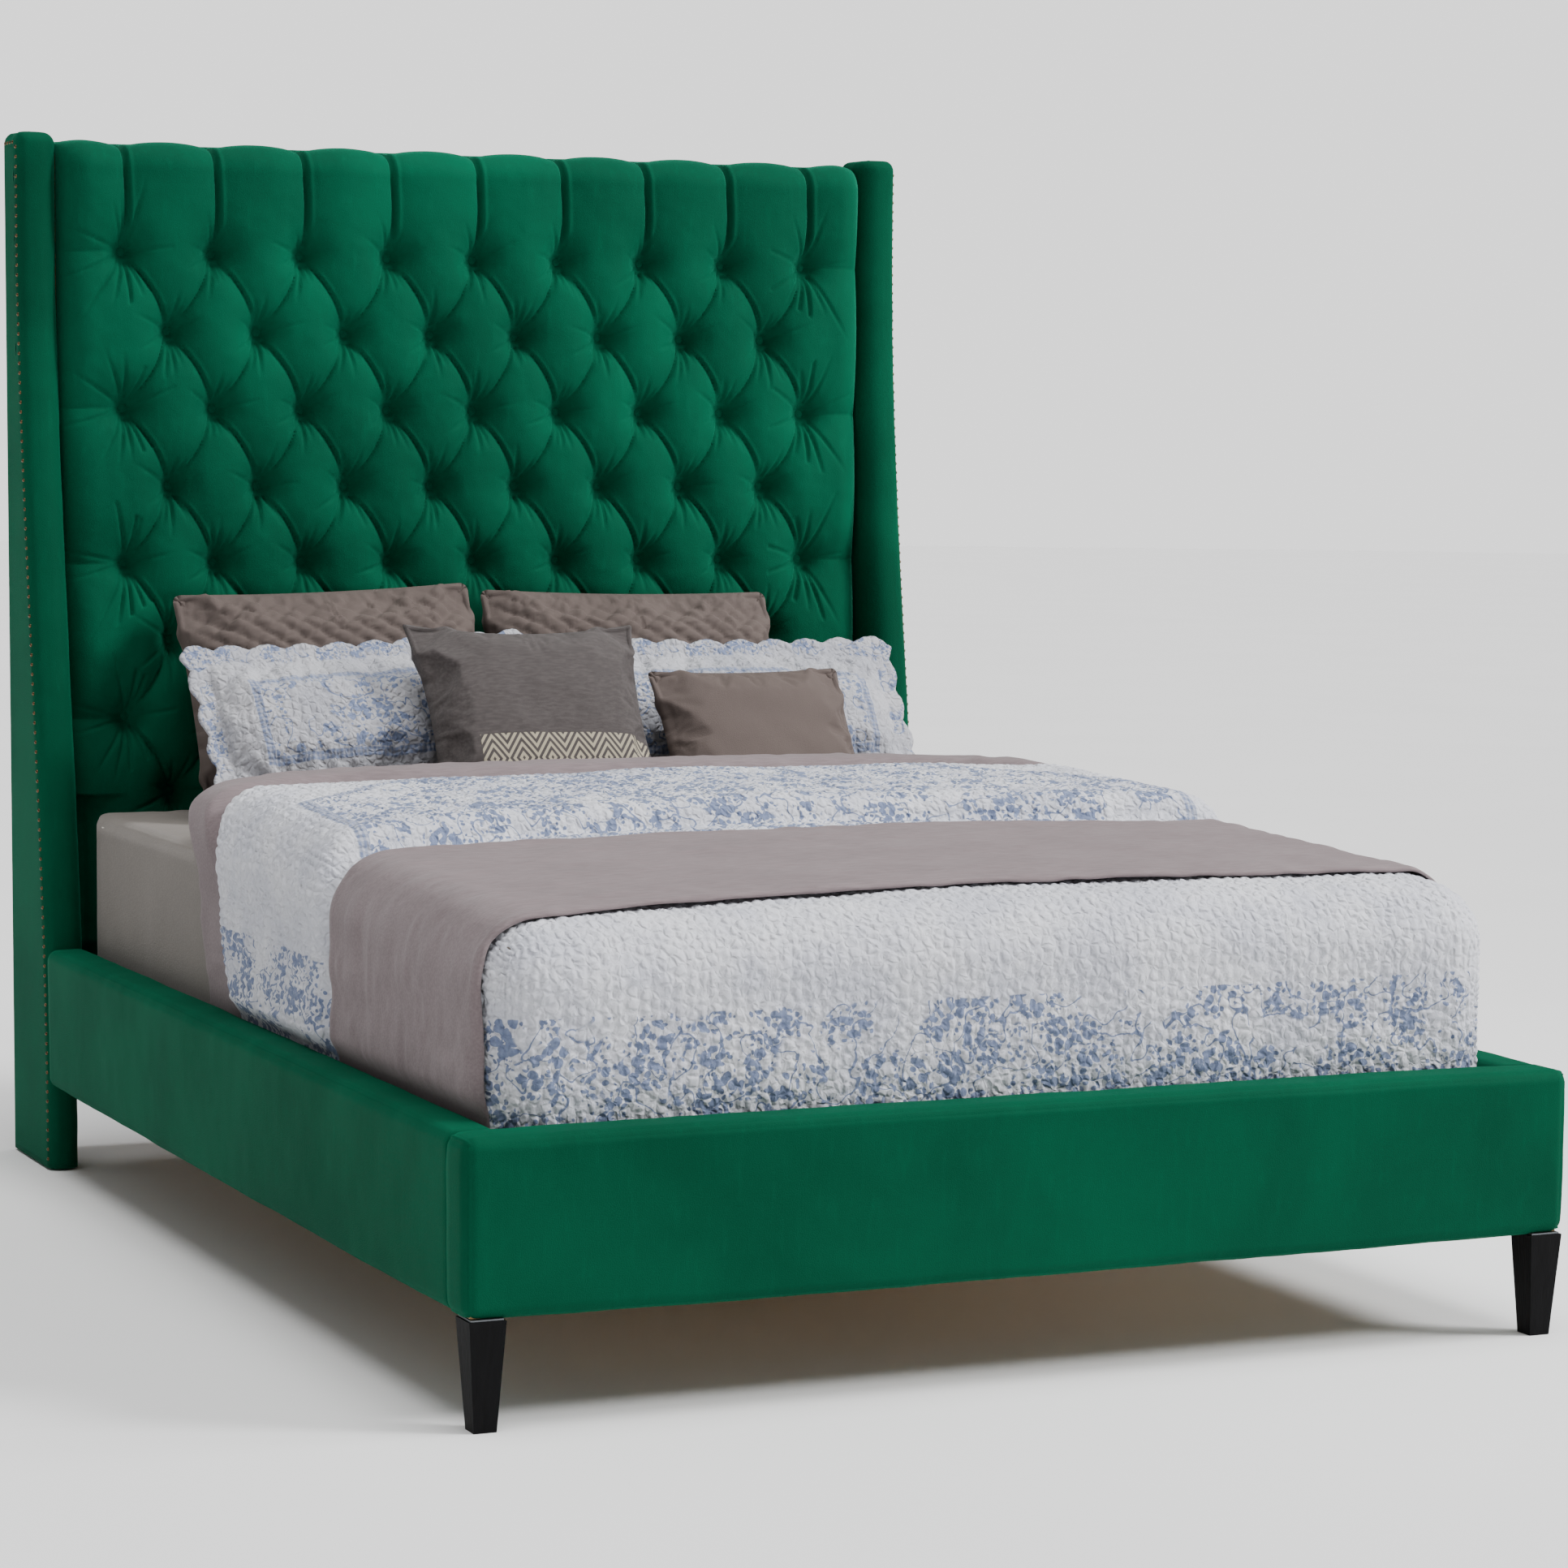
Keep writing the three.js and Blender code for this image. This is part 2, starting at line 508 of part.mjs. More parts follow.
// Cross-section of a layer: up from the tuck inside the rail, round the shoulder, over the top.
function beddingLoop(waistX, topZ, outset) {
  const { radius, crown, steps } = SHOULDER;
  const shoulder = Math.min(radius, topZ - RAIL_TOP_Z - SHOULDER.leastSide);
  const shoulderZ = topZ - crown - shoulder;
  const tuck = [
    [BEDDING_TUCK_X, BEDDING_TUCK_Z], [BEDDING_TUCK_X, RAIL_TOP_Z + TUCK_RISE.straight]];
  const over = [[waistX, RAIL_TOP_Z + TUCK_RISE.waist]];
  for (let i = 0; i <= steps; i += 1) {
    const turn = (Math.PI / 2) * (i / steps);
    over.push([waistX - shoulder * (1 - Math.cos(turn)), shoulderZ + shoulder * Math.sin(turn)]);
  }
  over.push([waistX * 0.45, topZ - crown * 0.2]);
  const half = [...tuck, ...over.map(([x, z]) => [x + outset, z + outset])];
  const left = half.map(([x, z]) => [-x, z]).reverse();
  return [...half, [0, topZ + outset], ...left];
}

function beddingLayer({ waistX, stations }, [y0, y1], outset = 0) {
  const inside = stations.map(([y]) => y).filter((y) => y > y0 && y < y1);
  return loft([y0, ...inside, y1].map((y) => (
    { y, loop: beddingLoop(waistX, topAt(stations, y), outset) })));
}

const wholeLayer = (layer, outset) =>
  beddingLayer(layer, [layer.stations[0][0] - outset, layer.stations.at(-1)[0]], outset);

// Cuts a layer's sides off past its side edge, where only its top runs on towards the head.
const sideCuts = ({ sideEdgeY }) => [-1, 1].map((side) => {
  const x = [side * SIDE_CUT.x, side * FAR].sort((a, b) => a - b);
  return block(x, [sideEdgeY, FAR], [0, MATTRESS_TOP_Z - SIDE_CUT.belowTop]);
});

function buildBedding() {
  const plan = roundedRect([-MATTRESS_WIDTH / 2, MATTRESS_WIDTH / 2],
    [MATTRESS_FOOT_Y, mattressHeadY], MATTRESS_CORNER_RADIUS);
  const mattressZ = [MATTRESS_BOTTOM_Z, MATTRESS_TOP_Z];
  const mattressHollow = mattressBlock(SHEET_THICKNESS + 2 * GAP, 0, FAR);
  const innerX = MATTRESS_WIDTH / 2 + THROW.clearOfMattress;
  const throwInner = block([-innerX, innerX], [-FAR, 0],
    [0, MATTRESS_TOP_Z - SHOULDER.leastSide]);
  const belowRailTop = block([-FAR, FAR], [-FAR, FAR], [0, RAIL_TOP_Z + TUCK_RISE.straight]);
  const [throwFoot, throwHead] = THROW.y;
  const outside = THROW.gap + THROW.thickness;

  add("mattress", extrudeZ(plan, mattressZ, MATTRESS_EDGE_RADIUS), TICKING);
  add("fitted_sheet",
    clothOver(GAP, SHEET_THICKNESS, MATTRESS_BOTTOM_Z + SHEET_HEM.above,
      mattressHeadY + SHEET_HEM.overHead), FITTED_COTTON);
  add("duvet", cut(wholeLayer(DUVET, 0), mattressHollow, ...sideCuts(DUVET)), THROW_CLOTH);
  add("quilt", cut(wholeLayer(QUILT, 0), wholeLayer(DUVET, 1), mattressHollow,
    ...sideCuts(QUILT)), QUILT_COTTON);
  add("throw", cut(beddingLayer(QUILT, THROW.y, outside),
    beddingLayer(QUILT, [throwFoot - outside, throwHead + outside], THROW.gap), throwInner,
    belowRailTop), THROW_CLOTH);
}

// ---- pillows -----------------------------------------------------------------------------------

const PILLOW_GRID = { across: 12, up: 8 };
const PILLOW_LIFT = 1.5; // over the fitted sheet

// A crowned cushion standing in the XZ plane, seamed round its edge, with a flat border of
// `flange` and with sides that pull in by `pinch` between the corners.
function cushion({ width, height, thickness, flange = 0, pinch = 14 }) {
  const { across, up } = PILLOW_GRID;
  const rim = 2;
  const dome = (s) => Math.sqrt(Math.max(0, 1 - Math.abs(s) ** 2.6));
  const inner = (s, half) => Math.min(1, Math.abs(s) * half / (half - flange));
  const point = (i, j, face) => {
    const [s, t] = [(2 * i) / across - 1, (2 * j) / up - 1];
    const [halfW, halfH] = [width / 2, height / 2];
    const fullness = dome(inner(s, halfW)) * dome(inner(t, halfH));
    const x = s * (halfW - pinch * (1 - t * t) * Math.abs(s));
    const z = t * (halfH - pinch * (1 - s * s) * Math.abs(t));
    return [x, face * (rim + (thickness / 2 - rim) * fullness), z];
  };
  const positions = [];
  const quad = (a, b, c, d) => positions.push(...a, ...b, ...c, ...a, ...c, ...d);
  for (let i = 0; i < across; i += 1) {
    for (let j = 0; j < up; j += 1) {
      quad(point(i, j, -1), point(i + 1, j, -1), point(i + 1, j + 1, -1), point(i, j + 1, -1));
      quad(point(i, j, 1), point(i, j + 1, 1), point(i + 1, j + 1, 1), point(i + 1, j, 1));
    }
  }
  for (let i = 0; i < across; i += 1) {
    quad(point(i, 0, 1), point(i + 1, 0, 1), point(i + 1, 0, -1), point(i, 0, -1));
    quad(point(i, up, -1), point(i + 1, up, -1), point(i + 1, up, 1), point(i, up, 1));
  }
  for (let j = 0; j < up; j += 1) {
    quad(point(0, j, -1), point(0, j + 1, -1), point(0, j + 1, 1), point(0, j, 1));
    quad(point(across, j, 1), point(across, j + 1, 1), point(across, j + 1, -1), point(across, j, -1));
  }
  const soup = new THREE.BufferGeometry();
  soup.setAttribute("position", new THREE.Float32BufferAttribute(positions, 3));
  const geometry = mergeVertices(soup, 1e-3);
  geometry.computeVertexNormals();
  return geometry;
}

const PILLOWS = [
  { name: "pillow_left", width: 560, height: 410, thickness: 150, x: -312, footY: 852, lean: 22,
    roll: -2, finish: PILLOW_VELVET },
  { name: "pillow_right", width: 570, height: 405, thickness: 150, x: 264, footY: 852, lean: 22,
    roll: 1, finish: PILLOW_VELVET },
  { name: "sham_left", width: 660, height: 372, thickness: 110, flange: 45, x: -305, footY: 628,
    lean: 36, roll: 0, finish: QUILT_COTTON },
  { name: "sham_right", width: 680, height: 372, thickness: 110, flange: 45, x: 392, footY: 628,
    lean: 36, roll: 1, finish: QUILT_COTTON },
  { name: "cushion_square", width: 430, height: 396, thickness: 120, x: -62, footY: 488, lean: 33,
    roll: 1, finish: THROW_CLOTH },
  { name: "cushion_small", width: 370, height: 298, thickness: 95, x: 350, footY: 490, lean: 33,
    roll: 0, finish: PILLOW_VELVET },
];

function buildPillows() {
  for (const { name, x, footY, lean, roll, height, finish, ...size } of PILLOWS) {
    const geometry = cushion({ height, ...size });
    geometry.rotateY(THREE.MathUtils.degToRad(roll));
    geometry.translate(0, 0, height / 2).rotateX(-THREE.MathUtils.degToRad(lean));
    geometry.computeBoundingBox();
    const restZ = MATTRESS_TOP_Z + SHEET_THICKNESS + PILLOW_LIFT;
    geometry.translate(x, footY, restZ - geometry.boundingBox.min.z);
    add(name, geometry, finish);
  }
}

buildHeadboardPanel();
buildWings();
buildSideRails();
buildBrackets();
buildFootboard();
buildFrontLegs();
buildSlatRoll();
buildCentreSupport();
buildBedding();
buildPillows();

export default bed;
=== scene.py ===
import itertools
import json
import math

import bpy
import numpy as np
from mathutils import Matrix, Vector
from mathutils.bvhtree import BVHTree


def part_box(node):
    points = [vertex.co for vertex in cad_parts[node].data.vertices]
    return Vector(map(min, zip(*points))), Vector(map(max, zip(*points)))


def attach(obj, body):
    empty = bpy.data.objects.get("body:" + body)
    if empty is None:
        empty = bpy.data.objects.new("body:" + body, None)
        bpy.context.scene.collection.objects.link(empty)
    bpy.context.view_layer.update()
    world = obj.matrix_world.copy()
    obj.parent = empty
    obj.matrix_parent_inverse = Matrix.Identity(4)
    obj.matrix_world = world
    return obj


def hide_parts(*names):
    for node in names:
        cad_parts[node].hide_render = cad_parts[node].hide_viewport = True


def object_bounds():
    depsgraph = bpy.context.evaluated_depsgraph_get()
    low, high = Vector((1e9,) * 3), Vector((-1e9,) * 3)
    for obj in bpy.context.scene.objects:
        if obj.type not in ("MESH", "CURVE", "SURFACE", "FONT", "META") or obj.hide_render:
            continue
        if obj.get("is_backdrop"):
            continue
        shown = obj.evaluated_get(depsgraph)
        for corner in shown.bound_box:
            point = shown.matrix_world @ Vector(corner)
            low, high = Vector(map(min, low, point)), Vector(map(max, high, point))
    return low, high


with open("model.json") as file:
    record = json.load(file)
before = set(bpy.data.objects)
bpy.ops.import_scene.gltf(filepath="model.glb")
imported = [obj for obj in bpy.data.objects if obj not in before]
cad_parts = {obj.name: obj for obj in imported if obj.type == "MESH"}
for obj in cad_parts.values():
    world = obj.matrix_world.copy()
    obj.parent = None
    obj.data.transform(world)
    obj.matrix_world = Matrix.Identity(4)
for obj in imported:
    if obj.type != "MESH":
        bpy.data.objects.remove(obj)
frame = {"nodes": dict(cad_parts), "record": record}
cad_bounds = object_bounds()

BODY = "bed"

# ---- numbers and noise ----


def smooth(value, low, high):
    """0 below `low`, 1 above `high`, easing between them."""
    t = np.clip((value - low) / (high - low), 0, 1)
    return t * t * (3 - 2 * t)


def round_rise(distance, radius):
    """0 at an edge, rising like a quarter circle to 1 at `radius` from it."""
    t = np.clip(distance / radius, 0, 1)
    return np.sqrt(1 - (1 - t) ** 2)


def mix(a, b, t):
    return a + (b - a) * t


def scatter(cell, seed):
    """A repeatable value from 0 to 1 for each whole-number cell."""
    h = cell[..., 0] * 73856093 ^ cell[..., 1] * 19349663 ^ cell[..., 2] * 83492791 ^ seed * 97531
    h = ((h ^ (h >> 13)) * 1274126177) & 0x7FFFFFFF
    return ((h ^ (h >> 15)) & 0xFFFF) / 65535.0


def noise(points, size, seed=0):
    """Smooth noise from -1 to 1, with blobs about `size` across."""
    scaled = points / size
    cell = np.floor(scaled).astype(np.int64)
    part = scaled - cell
    part = part * part * part * (part * (part * 6 - 15) + 10)
    total = np.zeros(points.shape[:-1])
    for corner in itertools.product((0, 1), repeat=3):
        weight = np.prod(np.where(corner, part, 1 - part), axis=-1)
        total += weight * scatter(cell + np.array(corner), seed)
    return 2 * total - 1


def flat_noise(a, b, size, seed=0):
    """The same noise over two coordinates of a cloth."""
    return noise(np.stack([a, b, np.full_like(a, 0.37 * size)], -1), size, seed)


# ---- meshes ----

WELD_DISTANCE = 1e-5


def grid_quads(rows, cols, wrap=False):
    """Faces of a grid of rows x cols points; `wrap` joins the last column to the first."""
    i = np.arange(rows - 1)[:, None] * cols
    j = np.arange(cols if wrap else cols - 1)[None, :]
    a, b = i + j, i + (j + 1) % cols
    return np.stack([a, b, b + cols, a + cols], -1).reshape(-1, 4)


def weld(points, quads):
    """Joins points whose first three columns, x, y and z, put them in the same place."""
    keys = np.round(points[:, :3] / WELD_DISTANCE).astype(np.int64)
    _, first, inverse = np.unique(keys, axis=0, return_index=True, return_inverse=True)
    return points[first], inverse.reshape(-1)[quads]


def merge(parts):
    """Several (points, quads) as one."""
    offsets = np.cumsum([0] + [len(points) for points, _ in parts[:-1]])
    return (np.concatenate([points for points, _ in parts]),
            np.concatenate([quads + offset for (_, quads), offset in zip(parts, offsets)]))


def add_object(name, data):
    obj = bpy.data.objects.new(name, data)
    bpy.context.scene.collection.objects.link(obj)
    return obj


def make_object(name, points, quads):
    mesh = bpy.data.meshes.new(name)
    quads = np.ascontiguousarray(quads, dtype=np.int32)
    mesh.vertices.add(len(points))
    mesh.vertices.foreach_set("co", np.asarray(points, np.float32).ravel())
    mesh.loops.add(quads.size)
    mesh.loops.foreach_set("vertex_index", quads.ravel())
    mesh.polygons.add(len(quads))
    mesh.polygons.foreach_set("loop_start", np.arange(0, quads.size, quads.shape[1], dtype=np.int32))
    mesh.polygons.foreach_set("use_smooth", np.ones(len(quads), bool))
    mesh.update(calc_edges=True)
    mesh.validate()
    return add_object(name, mesh)


def add_rim(obj, thickness):
    """Gives an open cloth's edges a thickness, and leaves its hidden inner side open."""
    rim = obj.modifiers.new("rim", "SOLIDIFY")
    rim.thickness = thickness
    rim.offset = -1
    rim.use_rim_only = True


def add_piece(name, points, quads, material, slot, *nodes, place=None):
    """A painted piece that rides on the bed and stands for its CAD nodes."""
    obj = make_object(name, points, quads)
    if place:
        obj.matrix_world = place
    obj.data.materials.append(material)
    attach(obj, BODY)
    if nodes:
        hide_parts(*nodes)
    return obj


def edge_lines(low, high, radius, step):
    """Coordinates from low to high, closer together round the edges."""
    bend = radius * np.tan(np.linspace(math.pi / 4, 0, 6))
    count = max(2, int(round((high - low - 2 * radius) / step)) + 1)
    middle = np.linspace(low + radius, high - radius, count)
    return np.concatenate([low + radius - bend[:-1], middle, high - radius + bend[:-1][::-1]])


def box_faces(lines, faces):
    """The chosen faces, each (axis, side), of a box cut along lines of x, y and z."""
    parts = []
    for axis, side in faces:
        a, b = (axis + 1) % 3, (axis + 2) % 3
        grid = np.empty((len(lines[a]), len(lines[b]), 3))
        grid[..., a] = lines[a][:, None]
        grid[..., b] = lines[b][None, :]
        grid[..., axis] = lines[axis][-1 if side > 0 else 0]
        quads = grid_quads(*grid.shape[:2])
        parts.append((grid.reshape(-1, 3), quads[:, ::-1] if side > 0 else quads))
    return weld(*merge(parts))


def round_plan(points, low, high, radius):
    """Rounds a box's upright corners to `radius`, seen from above."""
    inner = np.clip(points[:, :2], np.array(low[:2]) + radius, np.array(high[:2]) - radius)
    away = points[:, :2] - inner
    length = np.maximum(np.linalg.norm(away, axis=1, keepdims=True), 1e-9)
    rounded = points.copy()
    rounded[:, :2] = inner + away * np.minimum(1, radius / length)
    return rounded


ALL_FACES = [(axis, side) for axis in range(3) for side in (-1, 1)]


def soft_box(low, high, radius, step, puff=0.0, faces=ALL_FACES):
    """A box with rounded edges whose faces swell by `puff`: returns points, quads, normals."""
    low, high = np.array(low), np.array(high)
    lines = [edge_lines(low[i], high[i], radius, step) for i in range(3)]
    points, quads = box_faces(lines, faces)
    inner = np.clip(points, low + radius, high - radius)
    normals = points - inner
    normals /= np.linalg.norm(normals, axis=1, keepdims=True)
    span = np.abs(2 * (points - low) / (high - low) - 1)
    swell = np.prod(np.where(span > 0.9999, 1, 1 - span ** 4), axis=1)
    return inner + normals * (radius + puff * swell[:, None]), quads, normals


# ---- materials ----


def colour(code):
    """A linear colour from a hex code."""
    parts = [int(code[i:i + 2], 16) / 255 for i in (0, 2, 4)]
    linear = [c / 12.92 if c <= 0.04045 else ((c + 0.055) / 1.055) ** 2.4 for c in parts]
    return (*linear, 1.0)


class Shader:
    """A material being built: each method adds nodes and returns an output socket."""

    def __init__(self, name, **surface):
        self.material = bpy.data.materials.new(name)
        self.material.use_nodes = True
        self.tree = self.material.node_tree
        self.surface = self.tree.nodes["Principled BSDF"]
        self.place = self.add("ShaderNodeTexCoord", {}).outputs["Object"]
        for key, value in surface.items():
            self.surface.inputs[key.replace("_", " ")].default_value = value

    def add(self, kind, inputs, **settings):
        node = self.tree.nodes.new(kind)
        for key, value in settings.items():
            setattr(node, key, value)
        for key, value in inputs.items():
            self.feed(node.inputs[key], value)
        return node

    def feed(self, socket, value):
        if isinstance(value, bpy.types.NodeSocket):
            self.tree.links.new(value, socket)
        else:
            socket.default_value = value

    def axis(self, letter):
        return self.add("ShaderNodeSeparateXYZ", {"Vector": self.place}).outputs[letter]

    def noise(self, size, detail=2.0, stretch=(1, 1, 1), distortion=0.0):
        """Blobs about `size` across, drawn out along each axis by `stretch`."""
        place = self.add("ShaderNodeMapping", {
            "Vector": self.place, "Scale": [1 / s for s in stretch]}).outputs[0]
        return self.add("ShaderNodeTexNoise", {
            "Vector": place, "Scale": 1 / size, "Detail": detail,
            "Distortion": distortion}).outputs["Fac"]

    def cells(self, size, place, feature="F1"):
        return self.add("ShaderNodeTexVoronoi", {"Vector": place, "Scale": 1 / size},
                        feature=feature).outputs["Distance"]

    def math(self, operation, a, b=0.0):
        return self.add("ShaderNodeMath", {0: a, 1: b}, operation=operation).outputs[0]

    def plus(self, a, b):
        return self.math("ADD", a, b)

    def minus(self, a, b):
        return self.math("SUBTRACT", a, b)

    def times(self, a, b):
        return self.math("MULTIPLY", a, b)

    def step(self, value, low, high, to_low=0.0, to_high=1.0):
        """Eases from `to_low` to `to_high` as value goes from low to high."""
        return self.add("ShaderNodeMapRange", {
            "Value": value, "From Min": low, "From Max": high, "To Min": to_low, "To Max": to_high,
        }, interpolation_type="SMOOTHSTEP").outputs["Result"]

    def band(self, value, low, high):
        """1 where value is between low and high."""
        soft = 0.001
        return self.times(self.step(value, low - soft, low + soft),
                          self.step(value, high + soft, high - soft))

    def blend(self, factor, a, b):
        return self.add("ShaderNodeMix", {0: factor, 6: a, 7: b}, data_type="RGBA").outputs[2]

    def waves(self, letter, pitch):
        return self.math("SINE", self.times(self.axis(letter), 2 * math.pi / pitch))

    def finish(self, base, height=None, distance=0.001, roughness=None):
        self.feed(self.surface.inputs["Base Color"], base)
        if roughness is not None:
            self.feed(self.surface.inputs["Roughness"], roughness)
        if height is not None:
            bump = self.add("ShaderNodeBump", {"Height": height, "Distance": distance})
            self.feed(self.surface.inputs["Normal"], bump.outputs[0])
        return self.material


def velvet(name, dark, mid, light, tint, sheen):
    """Short pile that lies in patches, darker and lighter as the nap turns."""
    shader = Shader(name, Roughness=0.7, Sheen_Weight=sheen, Sheen_Roughness=0.28,
                    Sheen_Tint=colour(tint), Specular_IOR_Level=0.04)
    patches = shader.noise(0.30, 3.0, distortion=0.4)
    flecks = shader.noise(0.0016, 2.0)
    streaks = shader.noise(0.012, 3.0, stretch=(1, 1, 5))
    base = shader.blend(shader.step(patches, 0.3, 0.75, 0.42, 0.85), colour(dark), colour(mid))
    base = shader.blend(shader.step(streaks, 0.5, 0.95, 0, 0.10), base, colour(light))
    base = shader.blend(shader.step(flecks, 0.4, 0.8, 0, 0.25), base, colour(mid))
    height = shader.plus(flecks, shader.times(streaks, 0.3))
    return shader.finish(base, height, 0.0006)


def linen(name, dark, light, along=((7, 1, 1), (1, 7, 1))):
    """Plain weave with slubs and slightly uneven dye."""
    shader = Shader(name, Roughness=0.88, Sheen_Weight=0.15, Sheen_Roughness=0.5,
                    Specular_IOR_Level=0.15)
    threads = shader.plus(*(shader.noise(0.0018, 2.0, stretch=way) for way in along))
    slubs = shader.noise(0.004, 3.0, stretch=along[0])
    cloud = shader.noise(0.12, 3.0)
    tone = shader.plus(shader.step(slubs, 0.3, 0.75, 0.1, 0.6),
                       shader.step(cloud, 0.3, 0.7, 0, 0.25))
    base = shader.blend(tone, colour(dark), colour(light))
    height = shader.plus(shader.times(threads, 0.5), slubs)
    return shader.finish(base, height, 0.0005)


PRINT_BLUE = "5c6989"
PRINT_PALE = "8792ad"


def cotton(shader, shade, white):
    """A quilt's white ground: plain cotton, a little greyer in patches."""
    return shader.blend(shader.step(shader.noise(0.1, 3.0), 0.3, 0.7), colour(shade), colour(white))


def wandering(shader, size, amount):
    """The place, pushed about by noise of one size."""
    wobble = shader.add("ShaderNodeTexNoise", {
        "Vector": shader.place, "Scale": 1 / size, "Detail": 2.0}).outputs["Color"]
    return shader.add("ShaderNodeVectorMath", {0: wobble, 1: (amount,) * 3, 2: shader.place},
                      operation="MULTIPLY_ADD").outputs[0]


def sprigs(shader, size, cover):
    """A mask of blossoms with leaves and stems round them, gathered in sprays."""
    bent = wandering(shader, 1.2 * size, 0.5 * size)
    sprays = shader.step(shader.noise(size * 1.3, 1.5), 0.53 - cover, 0.55 - cover)
    wide = shader.step(shader.noise(size * 1.3, 1.5), 0.47 - cover, 0.49 - cover)
    heads = shader.cells(size * 0.52, bent)
    petals = shader.step(shader.cells(size * 0.15, bent), 0.56, 0.50)
    leaves = shader.step(shader.cells(size * 0.11, wandering(shader, 0.3 * size, 0.2 * size)),
                         0.40, 0.34)
    blossoms = shader.times(petals, shader.step(heads, 0.50, 0.46))
    leafy = shader.times(leaves, shader.step(heads, 0.72, 0.64))
    path = shader.math("ABSOLUTE", shader.minus(shader.noise(size * 0.55, 1.0), 0.5))
    stems = shader.times(shader.step(path, 0.013, 0.008), wide)
    gathered = shader.times(shader.math("MAXIMUM", blossoms, leafy), sprays)
    return shader.math("MAXIMUM", gathered, stems)


def quilted_cotton(shader, base):
    """Finishes quilted cotton: bumps between wandering stitch lines, and the crinkles they pull up."""
    pitch = 0.015
    cells = shader.cells(pitch, wandering(shader, pitch, 0.7 * pitch), "DISTANCE_TO_EDGE")
    puffs = shader.step(cells, 0.0, 0.30)
    crinkles = shader.times(shader.noise(0.35 * pitch, 2.0), 0.35)
    return shader.finish(base, shader.plus(puffs, crinkles), 0.0018)


def gingham(shader, letters):
    """Checks of a woven ribbon: from 0, white, to 1, blue."""
    return shader.plus(*(shader.step(shader.waves(letter, 0.0085), -0.2, 0.2, 0.2, 0.5)
                         for letter in letters))


def print_on(shader, base, masks):
    """Lays blue prints over the ground, each (where, pattern) pair of masks."""
    blue = shader.blend(shader.noise(0.006, 2.0), colour(PRINT_BLUE), colour(PRINT_PALE))
    for where, pattern in masks:
        base = shader.blend(shader.times(where, pattern), base, blue)
    return base


# ---- tufted headboard ----

PAD_LOW, PAD_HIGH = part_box("headboard_tufted_pad")
WING_LOW, WING_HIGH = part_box("wing_cover_left")
BUTTON_PITCH = 0.165
CELL_HEIGHT = 0.273
BUTTON_ROWS = 8
TOP_ROW_Z = PAD_HIGH.z - 0.193
OUTER_COLUMN = 4
BUTTON_RADIUS = 0.0115
PAD_BASE_Y = PAD_LOW.y + 0.067
PUFF = 0.058
PLEAT_HEIGHT = 0.60
PIT_RADIUS = 0.025
PLEAT_BOW = 0.0065
WRINKLE_DEPTH = 0.0085
WRINKLES = [  # the angle, its spread and the depth of each crease round a button
    (-1.57, 0.10, 1.0), (-1.28, 0.10, 0.9), (-1.86, 0.10, 0.9), (-1.02, 0.10, 0.6),
    (-2.12, 0.10, 0.6), (1.57, 0.15, 0.7), (1.25, 0.12, 0.5), (1.90, 0.12, 0.6),
    (2.75, 0.20, 0.45), (-2.70, 0.20, 0.5), (0.30, 0.20, 0.3)]


def button_places():
    """The centre (x, z) of every button, row by row."""
    for row in range(BUTTON_ROWS):
        offset = 0.5 * (row % 2)
        for column in range(-OUTER_COLUMN, OUTER_COLUMN + 1):
            if abs(column + offset) <= OUTER_COLUMN:
                yield (column + offset) * BUTTON_PITCH, TOP_ROW_Z - row * CELL_HEIGHT / 2


def nearest_button(x, z):
    """Offsets from the nearest button, and the distance to it."""
    best = np.full(x.shape, np.inf)
    dx, dz = np.zeros(x.shape), np.zeros(x.shape)
    for bx, bz in button_places():
        distance = np.hypot(x - bx, z - bz)
        closer = distance < best
        best = np.where(closer, distance, best)
        dx, dz = np.where(closer, x - bx, dx), np.where(closer, z - bz, dz)
    return dx, dz, best


def cell_bulge(x, z):
    """0 along the pleats and 1 in the middle of each cell of the tufting."""
    across = x / BUTTON_PITCH
    up = (z - TOP_ROW_Z) / CELL_HEIGHT
    last_row = -(BUTTON_ROWS - 1) / 2
    sharp = 0.36
    diamond = np.abs(np.sin(math.pi * (across + up)) * np.sin(math.pi * (across - up))) ** sharp
    side = np.abs(np.sin(math.pi * np.clip(up, last_row, 0)))
    above = np.abs(np.sin(math.pi * np.clip(np.abs(across), 0, OUTER_COLUMN + 0.5)))
    below = np.abs(np.sin(math.pi * np.clip(np.abs(across) - 0.5, -0.5, OUTER_COLUMN)))
    fade = 2 - smooth(up, 0, 0.35) * 0.7
    outside = np.abs(across) > OUTER_COLUMN
    bulge = np.where(outside, side ** (2 * sharp), diamond)
    corner = above * np.abs(np.sin(math.pi * np.clip(up, 0, 0.5)))
    bulge = np.where(up > 0, np.where(outside, corner, above) ** (sharp * fade), bulge)
    return np.where(up < last_row, below ** (2 * sharp), bulge)


def pleat_folds(x, z, reach):
    """Doubled cloth beside the pleats that run down to the right, thin beside the others."""
    across, up = x / BUTTON_PITCH, (z - TOP_ROW_Z) / CELL_HEIGHT
    pitch = BUTTON_PITCH * CELL_HEIGHT / math.hypot(BUTTON_PITCH, CELL_HEIGHT)
    inside = smooth(-up, 0, 0.03) * smooth(OUTER_COLUMN - np.abs(across), 0, 0.03)
    thick, thin = across + up, across - up
    fold = np.zeros(x.shape)
    for turn, height, offset, width in ((thick, 0.0035, 0.0050, 0.0026), (thin, 0.002, -0.004, 0.0024)):
        away = (turn - np.round(turn)) * pitch
        fold += height * np.exp(-((away - offset) / width) ** 2)
    return fold * inside * reach + upright_pleats(x, z)


